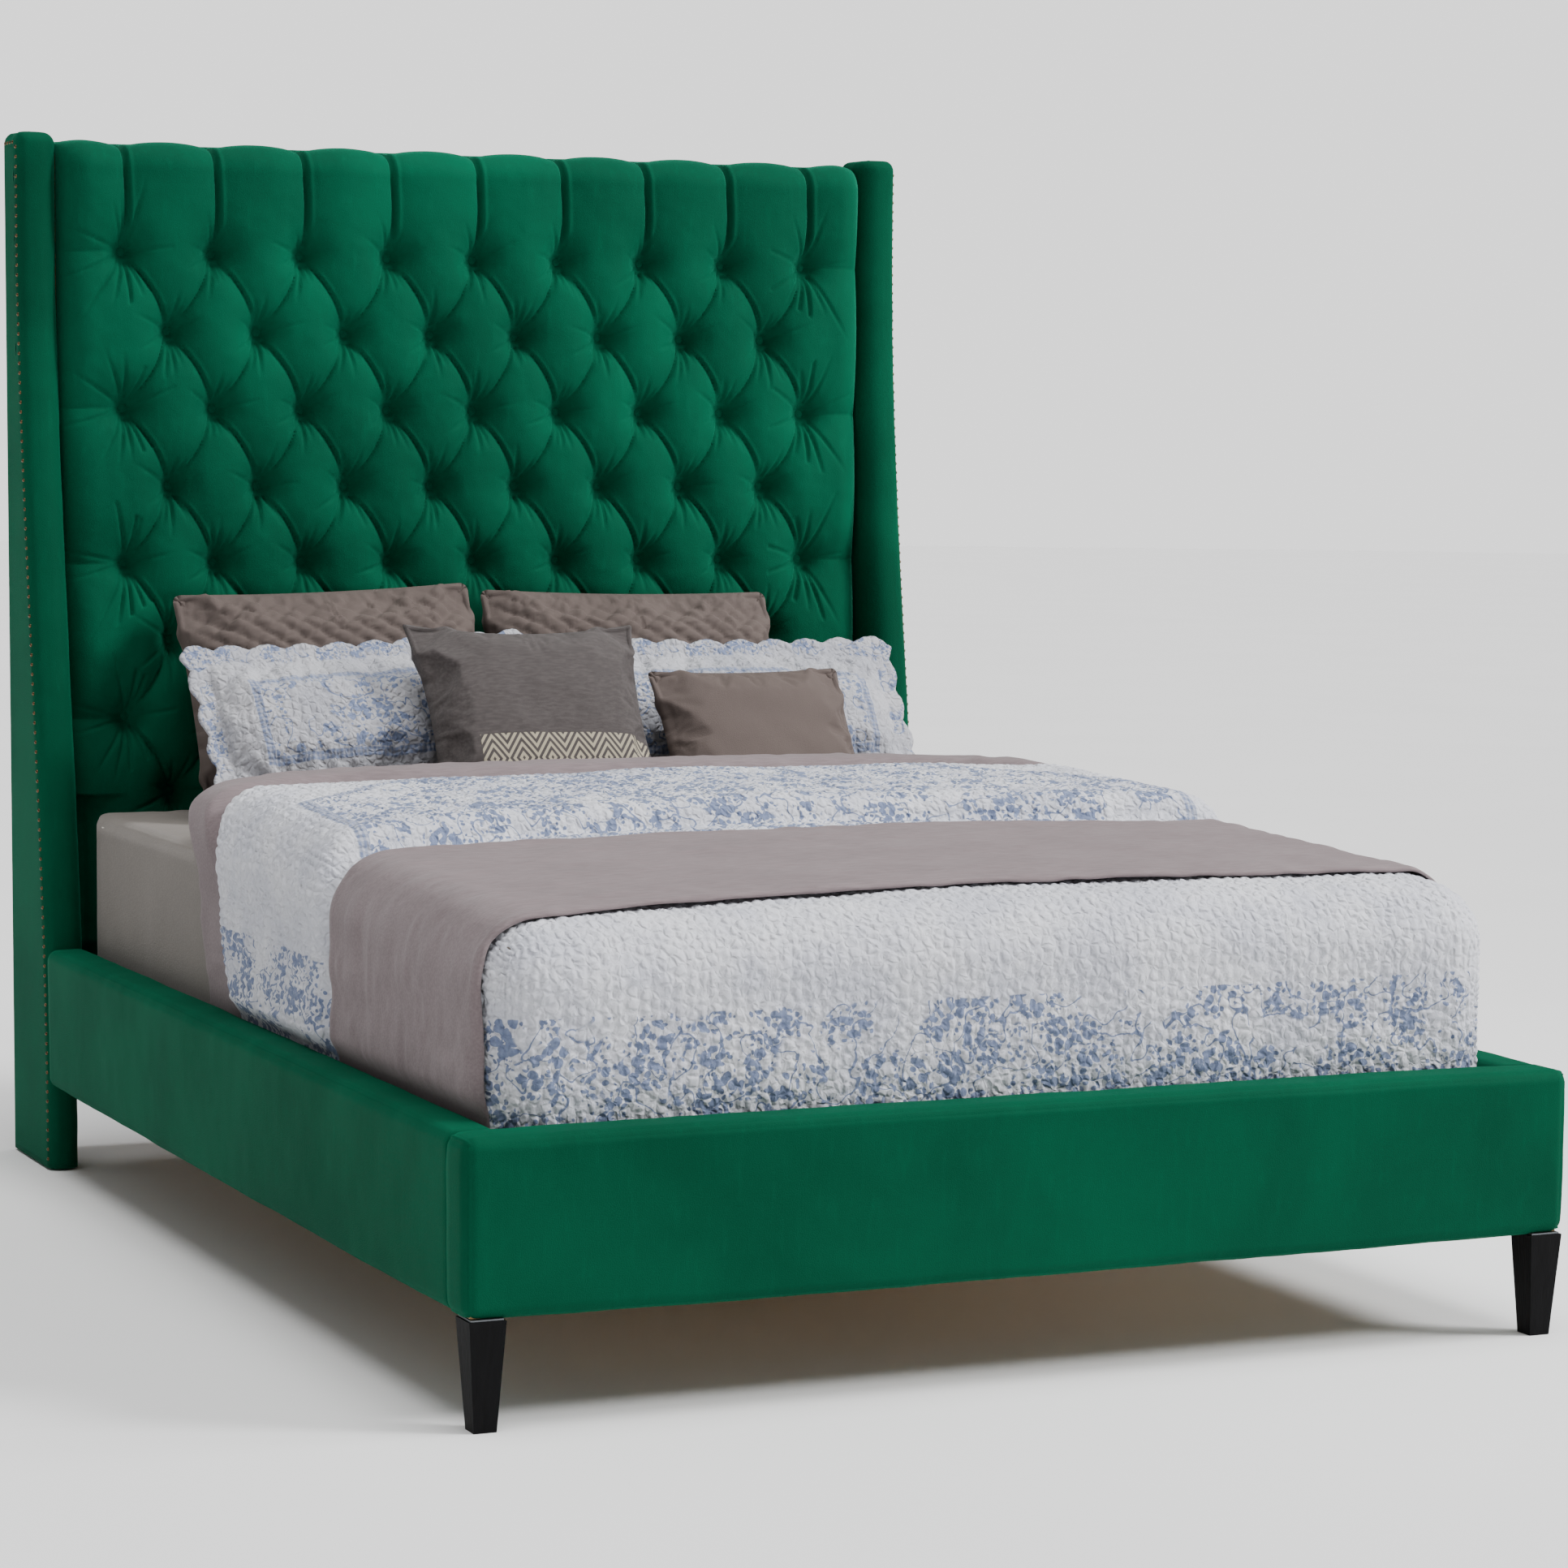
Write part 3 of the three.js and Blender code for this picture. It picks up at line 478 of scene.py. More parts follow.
def upright_pleats(x, z):
    """The deep doubled pleats that run from the top row of buttons over the top edge."""
    away = x - np.round(x / BUTTON_PITCH) * BUTTON_PITCH
    valley = -0.0070 * np.exp(-(away / 0.0032) ** 2)
    lips = 0.0034 * np.exp(-((away - 0.0085) / 0.0036) ** 2)
    shown = smooth(z, TOP_ROW_Z + 0.02, TOP_ROW_Z + 0.06) * (np.abs(x) < PAD_HIGH.x - 0.02)
    return (valley + lips) * shown


def button_wrinkles(dx, dz, distance, x, z):
    """Short creases that radiate from each button, mostly above and below it."""
    angle = np.arctan2(dz, dx)
    cell = np.stack([np.round((x - dx) * 1000), np.round((z - dz) * 1000), 0 * x], -1).astype(np.int64)
    total = np.zeros(x.shape)
    outer = smooth(np.abs(x - dx), 0.55, 0.65)
    for k, (centre, spread, strength) in enumerate(WRINKLES):
        aim = centre + spread * (scatter(cell, 11 + k) - 0.5) * 2
        length = (0.034 + 0.034 * scatter(cell, 41 + k)) * (1 + outer)
        turn = np.abs((angle - aim + math.pi) % (2 * math.pi) - math.pi)
        ridge = np.exp(-(turn * distance / 0.0030) ** 2)
        fade = smooth(distance, 0.013, 0.022) * (1 - smooth(distance, 0.4 * length, length * 1.4))
        total -= WRINKLE_DEPTH * strength * ridge * fade
    return total


def pleat_bow(z):
    """How far the pleats bow to the right between the rows of buttons."""
    up = (z - TOP_ROW_Z) / CELL_HEIGHT
    below = PLEAT_BOW * np.sin(2 * math.pi * up) ** 2 * (up > (1 - BUTTON_ROWS) / 2)
    return np.where(up > 0, 0.4 * PLEAT_BOW * np.sin(math.pi * np.clip(up / 0.5, 0, 1)), below)


def tufting(x, z):
    """How far the cloth stands out from the buttons' level."""
    dx, dz, distance = nearest_button(x, z)
    pull = 1 - np.exp(-(distance / PIT_RADIUS) ** 1.5)
    bowed = x - pleat_bow(z) * smooth(PAD_HIGH.x - np.abs(x), 0.03, 0.12)
    bulge = cell_bulge(bowed, z)
    height = PUFF * pull * (PLEAT_HEIGHT + (1 - PLEAT_HEIGHT) * bulge)
    height += pleat_folds(bowed, z, smooth(distance, 0.02, 0.05))
    height += button_wrinkles(dx, dz, distance, x, z)
    height += 0.0012 * flat_noise(x, z, 0.05, 3) + 0.0005 * flat_noise(x, z, 0.018, 4)
    return height


def build_tufted_pad(material):
    step = 0.003
    roll_z = PAD_HIGH.z - 0.05
    roll_y = PAD_BASE_Y + 0.015
    back_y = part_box("headboard_rail_top")[1].y + 0.0002
    back_radius = 0.007
    flat_length = back_y - back_radius - roll_y
    front = roll_z - PAD_LOW.z
    arc = 0.075
    lengths = np.concatenate([
        np.arange(0, front, step), front + np.linspace(0, arc, 24, endpoint=False),
        front + arc + np.linspace(0, flat_length, 10, endpoint=False),
        front + arc + flat_length + np.linspace(0, 0.03, 8)])
    half = PAD_HIGH.x
    columns = np.linspace(-half, half, int(2 * half / step) + 1)
    x, along = np.meshgrid(columns, lengths, indexing="xy")
    z = np.minimum(PAD_LOW.z + along, PAD_HIGH.z + 0.01)
    height = tufting(x, np.minimum(z, roll_z + 0.03))
    side = round_rise(half - np.abs(x), 0.055)
    height = (height + 0.007) * (0.12 + 0.88 * side) * mix(0.5, 1.0, smooth(along, 0, 0.06))
    top = np.full_like(x, PAD_HIGH.z)
    crest = 0.020 + 0.016 * cell_bulge(x, top) + upright_pleats(x, top) - 0.010 * (1 - side)

    turn = np.clip((along - front) / arc, 0, 1) * math.pi / 2
    out = mix(height, crest, smooth(turn, 0, math.pi / 2))
    back = np.clip(along - front - arc, 0, flat_length)
    drop = np.clip(along - front - arc - flat_length, 0, None)
    settle = smooth(back, 0, flat_length)
    out = mix(out, 0.034, settle * (turn > 1.57))
    radius = 0.015 + out
    y = roll_y - radius * np.cos(turn) + back + back_radius * smooth(drop, 0, 0.012)
    z = np.where(along < front, PAD_LOW.z + along, roll_z + radius * np.sin(turn) - drop)
    pad = add_piece("tufted_velvet_painted_lighter", np.stack([x, y, z], -1).reshape(-1, 3), grid_quads(*x.shape),
                    material, "velvet", "headboard_tufted_pad")


def build_buttons(material):
    rings, sides = 6, 20
    turn = np.linspace(0, 2 * math.pi, sides, endpoint=False)
    tilt = np.linspace(-0.5, math.pi / 2 - 0.05, rings)
    radius = BUTTON_RADIUS * np.cos(tilt)[:, None]
    x, z = radius * np.cos(turn), radius * np.sin(turn)
    y = -0.0065 * np.sin(tilt)[:, None] + 0 * turn
    dome = np.stack([x, y, z], -1).reshape(-1, 3)
    cap = np.array([[0, dome[:, 1].min() - 0.0002, 0]])
    quads = grid_quads(rings, sides, wrap=True)
    last = (rings - 1) * sides + np.arange(sides)
    pairs = last.reshape(-1, 2)
    lid = np.stack([pairs[:, 0], pairs[:, 1], np.roll(pairs[:, 0], -1),
                    np.full(sides // 2, len(dome))], -1)
    one = (np.concatenate([dome, cap]), np.concatenate([quads, lid]))
    level = PAD_BASE_Y - 0.008
    parts = [(one[0] + np.array([bx, level, bz]), one[1]) for bx, bz in button_places()]
    add_piece("tuft_buttons", *merge(parts), material, "velvet")


# ---- wings ----

WING_TOP_DEPTH = 0.098
WING_CROWN = 0.006
WING_CURVE = (0.100, 1.660)
WING_FOOT_WIDTH = 0.056
WING_FOOT_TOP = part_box("side_rail_cover_left")[0].z
NAIL_RADIUS = 0.0034
NAIL_PITCH = 0.0170
NAIL_HEIGHT = 0.0028
NAIL_SINK = 0.0004
NAIL_INSET = 0.019


def wing_front(z):
    """Y of the wing's front at a height."""
    foot_depth = WING_HIGH.y - WING_LOW.y
    return WING_HIGH.y - mix(foot_depth, WING_TOP_DEPTH, smooth(z, *WING_CURVE))


def rounded_loop(corners, radii, arc_steps, side_steps):
    """Points round a polygon whose corners are rounded, the same number for every shape."""
    corners = np.array(corners, float)
    loop = []
    for i, radius in enumerate(radii):
        before, here, after = corners[i - 1], corners[i], corners[(i + 1) % len(corners)]
        into = (before - here) / np.linalg.norm(before - here)
        away = (after - here) / np.linalg.norm(after - here)
        for t in np.linspace(0, 1, arc_steps):
            start, end = here + into * radius, here + away * radius
            loop.append((1 - t) ** 2 * start + 2 * t * (1 - t) * here + t ** 2 * end)
        start = here + away * radius
        next_into = (here - after) / np.linalg.norm(here - after)
        stop = after + next_into * radii[(i + 1) % len(corners)]
        loop.extend(mix(start, stop, t) for t in np.linspace(0, 1, side_steps + 2)[1:-1])
    return np.array(loop)


def wing_section(z):
    """The wing's outline seen from above, at a height."""
    outer, back = WING_LOW.x, WING_HIGH.y
    width = mix(WING_FOOT_WIDTH, WING_HIGH.x - WING_LOW.x, smooth(z, WING_FOOT_TOP - 0.004,
                                                                WING_FOOT_TOP + 0.004))
    front = wing_front(z)
    inner = outer + width
    loop = rounded_loop([(outer, back), (outer, front), (inner, front), (inner, back)],
                        [0.004, 0.020, width - 0.030, 0.006], 11, 14)
    across = np.clip((loop[:, 0] - outer) / width, 0, 1)
    depth = np.clip((loop[:, 1] - front) / (back - front), 0, 1)
    crown = 4 * across * (1 - across)
    loop[:, 1] -= WING_CROWN * (crown - 1) * (depth < 0.3)
    return loop


def build_wing(name, side, material):
    """One wing's padded cover; returns its surface, for the nails to be pressed into."""
    top, roll = WING_HIGH.z, 0.020
    heights = np.concatenate([
        np.linspace(WING_LOW.z, WING_FOOT_TOP - 0.006, 14),
        np.linspace(WING_FOOT_TOP - 0.004, WING_FOOT_TOP + 0.004, 5),
        np.linspace(WING_FOOT_TOP + 0.008, top - roll, 190)])

    def level(outline, z):
        return np.column_stack([outline, np.full(len(outline), z)])

    rows = [level(wing_section(z), z) for z in heights]
    rim = wing_section(top)
    centre = rim.mean(0)
    for t in np.linspace(0.15, 1, 7):
        lean = t * math.pi / 2
        inset = roll * (1 - math.cos(lean))
        direction = centre - rim
        length = np.linalg.norm(direction, axis=1, keepdims=True)
        ring = rim + direction / length * inset * np.minimum(1, length / 0.02)
        rows.append(level(ring, top - roll + roll * math.sin(lean)))
    for shrink in (0.25, 0.5, 0.75, 0.97):
        ring = mix(ring, centre, shrink)
        rows.append(level(ring, top + 0.003 * shrink))
    grid = np.array(rows)
    soft = 0.0013 * noise(grid, 0.14, 21) + 0.0006 * noise(grid, 0.04, 22)
    inward = np.sign(grid[..., 0] - grid[..., 0].mean())
    grid[..., 0] += soft * inward * (grid[..., 0] > WING_LOW.x + 0.01)
    grid[..., 1] += soft * (grid[..., 1] < WING_HIGH.y - 0.02)
    points, quads = grid.reshape(-1, 3), grid_quads(len(rows), grid.shape[1], wrap=True)
    last = grid.shape[1] - 1
    i = np.arange(last // 2)
    quads = np.concatenate([quads, np.stack([i, last - i, last - 1 - i, i + 1], -1)])
    if side > 0:
        points, quads = points * np.array([-1, 1, 1]), quads[:, ::-1]
    add_piece(f"wing_velvet_{name}", points, quads, material, "velvet",
                        f"wing_cover_{name}")
    return BVHTree.FromPolygons(points.tolist(), quads.tolist())


def nail_places():
    """Centres (y, z) of the nails: up the front edge of the wing's outer side and across its top."""
    z = WING_LOW.z + 0.016
    top = WING_HIGH.z - 0.018
    while z < top:
        yield wing_front(z) + NAIL_INSET, z
        slope = (wing_front(z + 0.001) - wing_front(z)) / 0.001
        z += NAIL_PITCH / math.hypot(1, slope)
    y = wing_front(top) + NAIL_INSET + NAIL_PITCH
    while y < WING_HIGH.y - 0.008:
        yield y, top
        y += NAIL_PITCH


def build_nails(name, side, wing, material):
    """Domed nails pressed into the wing's outer side, each square to the cloth under it."""
    rings, sides = 4, 10
    turn = np.linspace(0, 2 * math.pi, sides, endpoint=False)
    tilt = np.linspace(0, math.pi / 2 - 0.1, rings)
    radius = NAIL_RADIUS * np.cos(tilt)[:, None]
    bulge = NAIL_HEIGHT * np.sin(tilt)[:, None] + 0 * turn
    dome = np.stack([radius * np.cos(turn), radius * np.sin(turn), bulge], -1).reshape(-1, 3)
    quads = grid_quads(rings, sides, wrap=True)
    parts = []
    for y, z in nail_places():
        spot, facing, *_ = wing.ray_cast(Vector((side, y, z)), Vector((-side, 0, 0)))
        facing *= math.copysign(1, facing.x * side)
        turned = np.array(facing.to_track_quat("Z", "Y").to_matrix())
        parts.append((dome @ turned.T + np.array(spot - facing * NAIL_SINK), quads))
    add_piece(f"nailheads_{name}", *merge(parts), material, "zinc_steel")


# ---- rails and footboard ----

RAIL_ROUNDING = 0.019
JOINT_ROUNDING = 0.005


def padded_rail(node, square_foot_end):
    """A padded rail, nearly square where it meets its neighbours so that the joint stays shut."""
    low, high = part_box(node)
    points, quads, normals = soft_box(low, high, RAIL_ROUNDING, 0.012, 0.003)
    soft = 0.0010 * noise(points, 0.12, 31) + 0.0005 * noise(points, 0.035, 32)
    points = points + normals * soft[:, None]
    foot = JOINT_ROUNDING if square_foot_end else RAIL_ROUNDING
    points[:, 1] = np.interp(
        points[:, 1], [low.y, low.y + RAIL_ROUNDING, high.y - RAIL_ROUNDING, high.y],
        [low.y, low.y + foot, high.y - JOINT_ROUNDING, high.y])
    return high.y, points, quads


def build_rails(material):
    for name in ("left", "right"):
        node = f"side_rail_cover_{name}"
        head_y, points, quads = padded_rail(node, True)
        reach = np.maximum(0, wing_front(points[:, 2]) - head_y)
        points[:, 1] += reach * smooth(points[:, 1], head_y - 0.06, head_y)
        add_piece(f"rail_velvet_{name}", points, quads, material, "velvet", node)
    _, points, quads = padded_rail("footboard_cover", False)
    add_piece("footboard_velvet", points, quads, material, "velvet",
                        "footboard_cover")


# ---- mattress and bedding ----

MATTRESS_CORNER = 0.075
RAIL_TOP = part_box("side_rail_cover_left")[1].z
RAIL_INNER_X = -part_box("side_rail_cover_left")[1].x
TUCK_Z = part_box("quilt")[0].z
SIDES_AND_TOP = [(0, -1), (0, 1), (2, 1)]


class Layer:
    """One layer of the made bed, as a rounded box whose top follows a height profile."""

    def __init__(self, half_width, foot_y, head_y, top_z, radius, tops):
        self.half_width, self.foot_y, self.head_y = half_width, foot_y, head_y
        self.top_z, self.radius = top_z, radius
        ys = np.linspace(foot_y - 0.2, head_y + 0.2, 800)
        zs = np.interp(ys, *np.array(tops).T)
        kernel = np.hanning(31) / np.hanning(31).sum()
        self.profile = ys, np.convolve(np.pad(zs, 15, mode="edge"), kernel, mode="valid")

    def cloth(self, step, faces, y_range=None, bottom=TUCK_Z):
        """A mesh of the box's faces, before it is draped: points, quads."""
        low, high = y_range or (self.foot_y, self.head_y)
        width, drop = self.half_width, self.top_z - bottom
        xs = np.linspace(-width, width, int(2 * width / step) + 1)
        ys = np.linspace(low, high, int((high - low) / step) + 1)
        zs = np.linspace(bottom, self.top_z, int(drop / step) + 1)
        return box_faces([xs, ys, zs], faces)

    def across(self, flat):
        """Distance across the cloth from the bed's middle line, down the sides too."""
        on_side = np.abs(flat[:, 0]) > self.half_width - 1e-6
        drop = np.where(on_side, self.top_z - flat[:, 2], 0)
        return np.sign(flat[:, 0]) * (np.abs(flat[:, 0]) + drop)

    def along(self, flat):
        """Distance along the cloth, down the foot too."""
        on_foot = flat[:, 1] < self.foot_y + 1e-6
        return flat[:, 1] - np.where(on_foot, self.top_z - flat[:, 2], 0)

    def drape(self, flat, lift):
        """Lays the flat cloth over the bed, `lift` above the layer's own surface."""
        x, y, z = flat.T
        inner = np.stack([
            np.clip(x, -self.half_width + self.radius, self.half_width - self.radius),
            np.maximum(y, self.foot_y + self.radius),
            np.minimum(z, self.top_z - self.radius)], 1)
        normals = flat - inner
        normals /= np.linalg.norm(normals, axis=1, keepdims=True)
        points = inner + normals * (self.radius + np.asarray(lift))[..., None]
        height = smooth(points[:, 2], RAIL_TOP + 0.03, self.top_z - 0.1)
        points[:, 2] -= (self.top_z - np.interp(points[:, 1], *self.profile)) * height
        points[:, 2] -= 0.012 * (points[:, 0] / self.half_width) ** 2 * height
        tucked = 1 - smooth(flat[:, 2], RAIL_TOP - 0.005, RAIL_TOP + 0.035)
        limit = RAIL_INNER_X - 0.002 - 0.004 * smooth(-flat[:, 2], -RAIL_TOP, -TUCK_Z)
        held = np.clip(points[:, 0], -limit, limit)
        points[:, 0] = mix(points[:, 0], held, tucked)
        foot_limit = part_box("footboard_cover")[1].y + 0.002
        points[:, 1] = mix(points[:, 1], np.maximum(points[:, 1], foot_limit), tucked)
        return points


QUILT_LOW, QUILT_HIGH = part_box("quilt")
DUVET_LOW, DUVET_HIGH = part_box("duvet")
QUILT = Layer(0.786, QUILT_LOW.y, QUILT_HIGH.y, 0.712, 0.090, [
    (-1.09, 0.662), (-1.0, 0.666), (-0.9, 0.676), (-0.42, 0.692), (0, 0.708), (0.15, 0.710),
    (0.3, 0.690)])
FOLD_THICKNESS = QUILT_HIGH.z - 0.712
QUILT_SIDE_Y = 0.085
DUVET_SIDE_Y = 0.265
DUVET = Layer(0.778, DUVET_LOW.y, DUVET_HIGH.y, 0.738, 0.085, [
    (-1.09, 0.640), (-0.9, 0.654), (-0.42, 0.672), (0.05, 0.690), (0.45, 0.690)])


QUILTING_PITCH = 0.0175
QUILTING_LENGTH = 0.031


def quilting(a, b):
    """Height from 0 to 1 between the wandering stitch lines of machine quilting."""
    bent_a = a + 0.008 * flat_noise(a, b, 0.018, 51) + 0.004 * flat_noise(a, b, 0.045, 52)
    column = np.floor(bent_a / QUILTING_PITCH)
    shift = (column % 2) * 0.5 + 0.23 * np.sin(column * 5.3)
    bent_b = b + 0.010 * flat_noise(a, b, 0.02, 53)
    cells = np.abs(np.sin(math.pi * bent_a / QUILTING_PITCH)) * mix(
        0.12, 1.0, np.abs(np.sin(math.pi * (bent_b / QUILTING_LENGTH + shift))))
    return cells ** 0.5


def fold_edge(a):
    """Y of the turned-back quilt's free edge, across the cloth."""
    left, right = smooth(-a, 0.1, 1.0), smooth(a, 0.2, 0.9)
    return -0.262 - 0.150 * left - 0.060 * right + 0.006 * np.sin(a * 9)


def head_edge(a, middle, side):
    """Y of a layer's edge nearest the head, which swings footwards down the sides."""
    return mix(middle, side, smooth(np.abs(a), 0.45, 0.95)) - 0.05 * smooth(np.abs(a), 0.95, 1.15)


def pull_to_edge(flat, edge, start, end):
    """Slides the part of the cloth beyond `start` so that it ends along `edge`."""
    beyond = flat[:, 1] > start
    moved = start + (flat[:, 1] - start) * (edge - start) / (end - start)
    flat = flat.copy()
    flat[:, 1] = np.where(beyond, moved, flat[:, 1])
    return flat


def quilt_shape(flat, a):
    """How far the quilt stands above its base layer: the turned-back part and the rolled head edge."""
    edge = fold_edge(a)
    head = head_edge(a, QUILT_HIGH.y, QUILT_SIDE_Y)
    on_side = smooth(np.abs(a), QUILT.half_width - 0.06, QUILT.half_width + 0.12)
    thick = FOLD_THICKNESS * mix(1.0, 0.45, on_side)
    folded = round_rise(flat[:, 1] - edge, 0.042) * (flat[:, 1] > edge)
    rolled = mix(0.45, 1.0, round_rise(head - flat[:, 1], 0.040))
    return thick * folded * rolled


def build_quilt(material):
    flat, quads = QUILT.cloth(0.0036, SIDES_AND_TOP + [(1, -1)])
    a = QUILT.across(flat)
    flat = pull_to_edge(flat, head_edge(a, QUILT_HIGH.y, QUILT_SIDE_Y), -0.15, QUILT_HIGH.y)
    b = QUILT.along(flat)
    puckers = 0.0048 * (quilting(a, b) - 1)
    slack = 0.0045 * flat_noise(a, b, 0.22, 54) + 0.0022 * flat_noise(a, b, 0.08, 55)
    hidden = smooth(flat[:, 2], TUCK_Z, RAIL_TOP)
    lift = quilt_shape(flat, a) + puckers + slack * hidden * 0.8 - 0.003
    quilt = add_piece("quilt_cloth", QUILT.drape(flat, lift), quads, material, "quilt_cotton", "quilt")
    add_rim(quilt, 0.010)


def build_duvet(material):
    flat, quads = DUVET.cloth(0.008, SIDES_AND_TOP + [(1, -1)])
    a = DUVET.across(flat)
    edge = head_edge(a, DUVET_HIGH.y - 0.01, DUVET_SIDE_Y)
    flat = pull_to_edge(flat, edge, -0.15, DUVET_HIGH.y)
    inside = edge - flat[:, 1]
    on_side = smooth(np.abs(a), DUVET.half_width - 0.03, DUVET.half_width + 0.10)
    crest = mix(0.058, 0.0, on_side)
    roll = round_rise(inside, 0.050) * (1 - smooth(inside, 0.12, 0.19))
    hem = -0.050 * (1 - on_side) * (1 - round_rise(inside, 0.045)) - 0.008 * (1 - round_rise(inside, 0.03))
    folds = 0.0022 * flat_noise(a * 3, flat[:, 1], 0.07, 61) * smooth(flat[:, 2], TUCK_Z, RAIL_TOP)
    points = DUVET.drape(flat, crest * roll + hem + folds - 0.002)
    duvet = add_piece("duvet_cloth", points, quads, material, "taupe_cloth", "duvet")
    add_rim(duvet, 0.006)


def build_throw(material):
    step, lift = 0.006, 0.0055
    low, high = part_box("throw")
    flat, quads = QUILT.cloth(step, SIDES_AND_TOP, (low.y, high.y), RAIL_TOP - 0.02)
    a = QUILT.across(flat)
    left, right = smooth(-a, 0.1, 1.0), smooth(a, 0.1, 1.0)
    foot = -0.958 - 0.085 * left + 0.012 * right + 0.004 * np.sin(a * 7)
    head = fold_edge(a) - 0.012 - 0.014 * left - 0.10 * (1 - left) * (1 - smooth(np.abs(a), 0.5, 0.9))
    t = (flat[:, 1] - low.y) / (high.y - low.y)
    flat[:, 1] = mix(foot, head, t)
    b = flat[:, 1]
    edge = np.minimum(t, 1 - t)
    ripples = 0.0030 * flat_noise(a * 0.35, b, 0.045, 71) + 0.0022 * flat_noise(a * 0.5, b, 0.018, 72)
    drape_folds = 0.0025 * flat_noise(a, b * 0.2, 0.05, 73) * smooth(np.abs(a), 0.7, 0.85)
    hem = 0.0016 * np.exp(-((edge - 0.03) / 0.012) ** 2) - 0.0025 * (1 - smooth(edge, 0, 0.012))
    points = QUILT.drape(flat, lift + ripples * 0.8 + drape_folds + hem)
    cloth = add_piece("throw_cloth", points, quads, material, "taupe_cloth", "throw")
    add_rim(cloth, 0.003)


def build_fitted_sheet(material):
    low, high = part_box("fitted_sheet")
    hem_z = low.z
    points, quads, normals = soft_box(low - Vector((0, 0, 0.1)), high, 0.032, 0.010, 0.002,
                                      SIDES_AND_TOP + [(1, -1), (1, 1)])
    keep = np.all(points[quads][:, :, 2] > hem_z, axis=1)
    quads = quads[keep]
    used, inverse = np.unique(quads, return_inverse=True)
    points, quads, normals = points[used], inverse.reshape(-1, 4), normals[used]
    ripple = 0.0012 * noise(points * np.array([1, 1, 0.4]), 0.09, 81)
    corner = smooth(points[:, 1], 0.7, 0.97) * smooth(points[:, 2], 0.35, 0.6)
    ripple += 0.0015 * corner * noise(points * np.array([1, 1.6, 0.5]), 0.03, 82)
    points = round_plan(points, low, high, MATTRESS_CORNER)
    points = points + normals * (ripple + 0.0010)[:, None]
    sheet = add_piece("fitted_sheet_cloth", points, quads, material, "fitted_cotton", "fitted_sheet")
    add_rim(sheet, 0.0012)


def build_mattress(material, tape):
    low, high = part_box("mattress")
    room = Vector((0.002, 0.002, 0.002))
    points, quads, normals = soft_box(low + room, high - room, 0.028, 0.012, 0.0)
    tufts = np.abs(np.sin(points[:, 0] * math.pi / 0.12) * np.sin(points[:, 1] * math.pi / 0.12))
    flat = np.abs(normals[:, 2]) > 0.9
    points = points - normals * (0.004 * (1 - tufts ** 0.5) * flat)[:, None]
    points = round_plan(points, low + room, high - room, MATTRESS_CORNER)
    add_piece("mattress_ticking", points, quads, material, "ticking", "mattress")
    rings = []
    for z in (low.z + 0.018, high.z - 0.018):
        path = rounded_loop([(low.x, low.y), (high.x, low.y), (high.x, high.y), (low.x, high.y)],
                            [MATTRESS_CORNER] * 4, 8, 40)
        centre = path.mean(0)
        outward = (path - centre) / np.linalg.norm(path - centre, axis=1, keepdims=True)
        turn = np.linspace(0, 2 * math.pi, 8, endpoint=False)
        tube = np.stack([path[:, None, i] + outward[:, None, i] * (0.003 * np.cos(turn) - 0.004)
                         for i in range(2)] + [z + 0.003 * np.sin(turn) + 0 * path[:, :1]], -1)
        closed = np.concatenate([tube, tube[:1]])
        rings.append(weld(closed.reshape(-1, 3), grid_quads(len(closed), len(turn), wrap=True)))
    add_piece("mattress_piping", *merge(rings), tape, "ticking")


# ---- pillows ----

PILLOWS = {
    "pillow_left": dict(size=(0.560, 0.410, 0.150), lean=22, roll=-2, pinch=0.007, corner=0.018,
                        stitches="lattice"),
    "pillow_right": dict(size=(0.570, 0.405, 0.150), lean=22, roll=1, pinch=0.007, corner=0.018,
                         stitches="lattice"),
    "sham_left": dict(size=(0.660, 0.372, 0.110), lean=36, roll=-2.5, pinch=0.010, corner=0.030,
                      flange=0.045, stitches="wander"),
    "sham_right": dict(size=(0.680, 0.372, 0.110), lean=36, roll=1, pinch=0.010, corner=0.030,
                       flange=0.045, stitches="wander"),
    "cushion_square": dict(size=(0.430, 0.396, 0.120), lean=33, roll=1, pinch=0.020, corner=0.006),
    "cushion_small": dict(size=(0.370, 0.298, 0.095), lean=33, roll=0, pinch=0.007, corner=0.012),
}
SCALLOP_PITCH = 0.066
SCALLOP_DEPTH = 0.011
PILLOW_STEP = 0.0045
PILLOW_RIM = 0.002
PILLOW_FULLNESS = 0.86


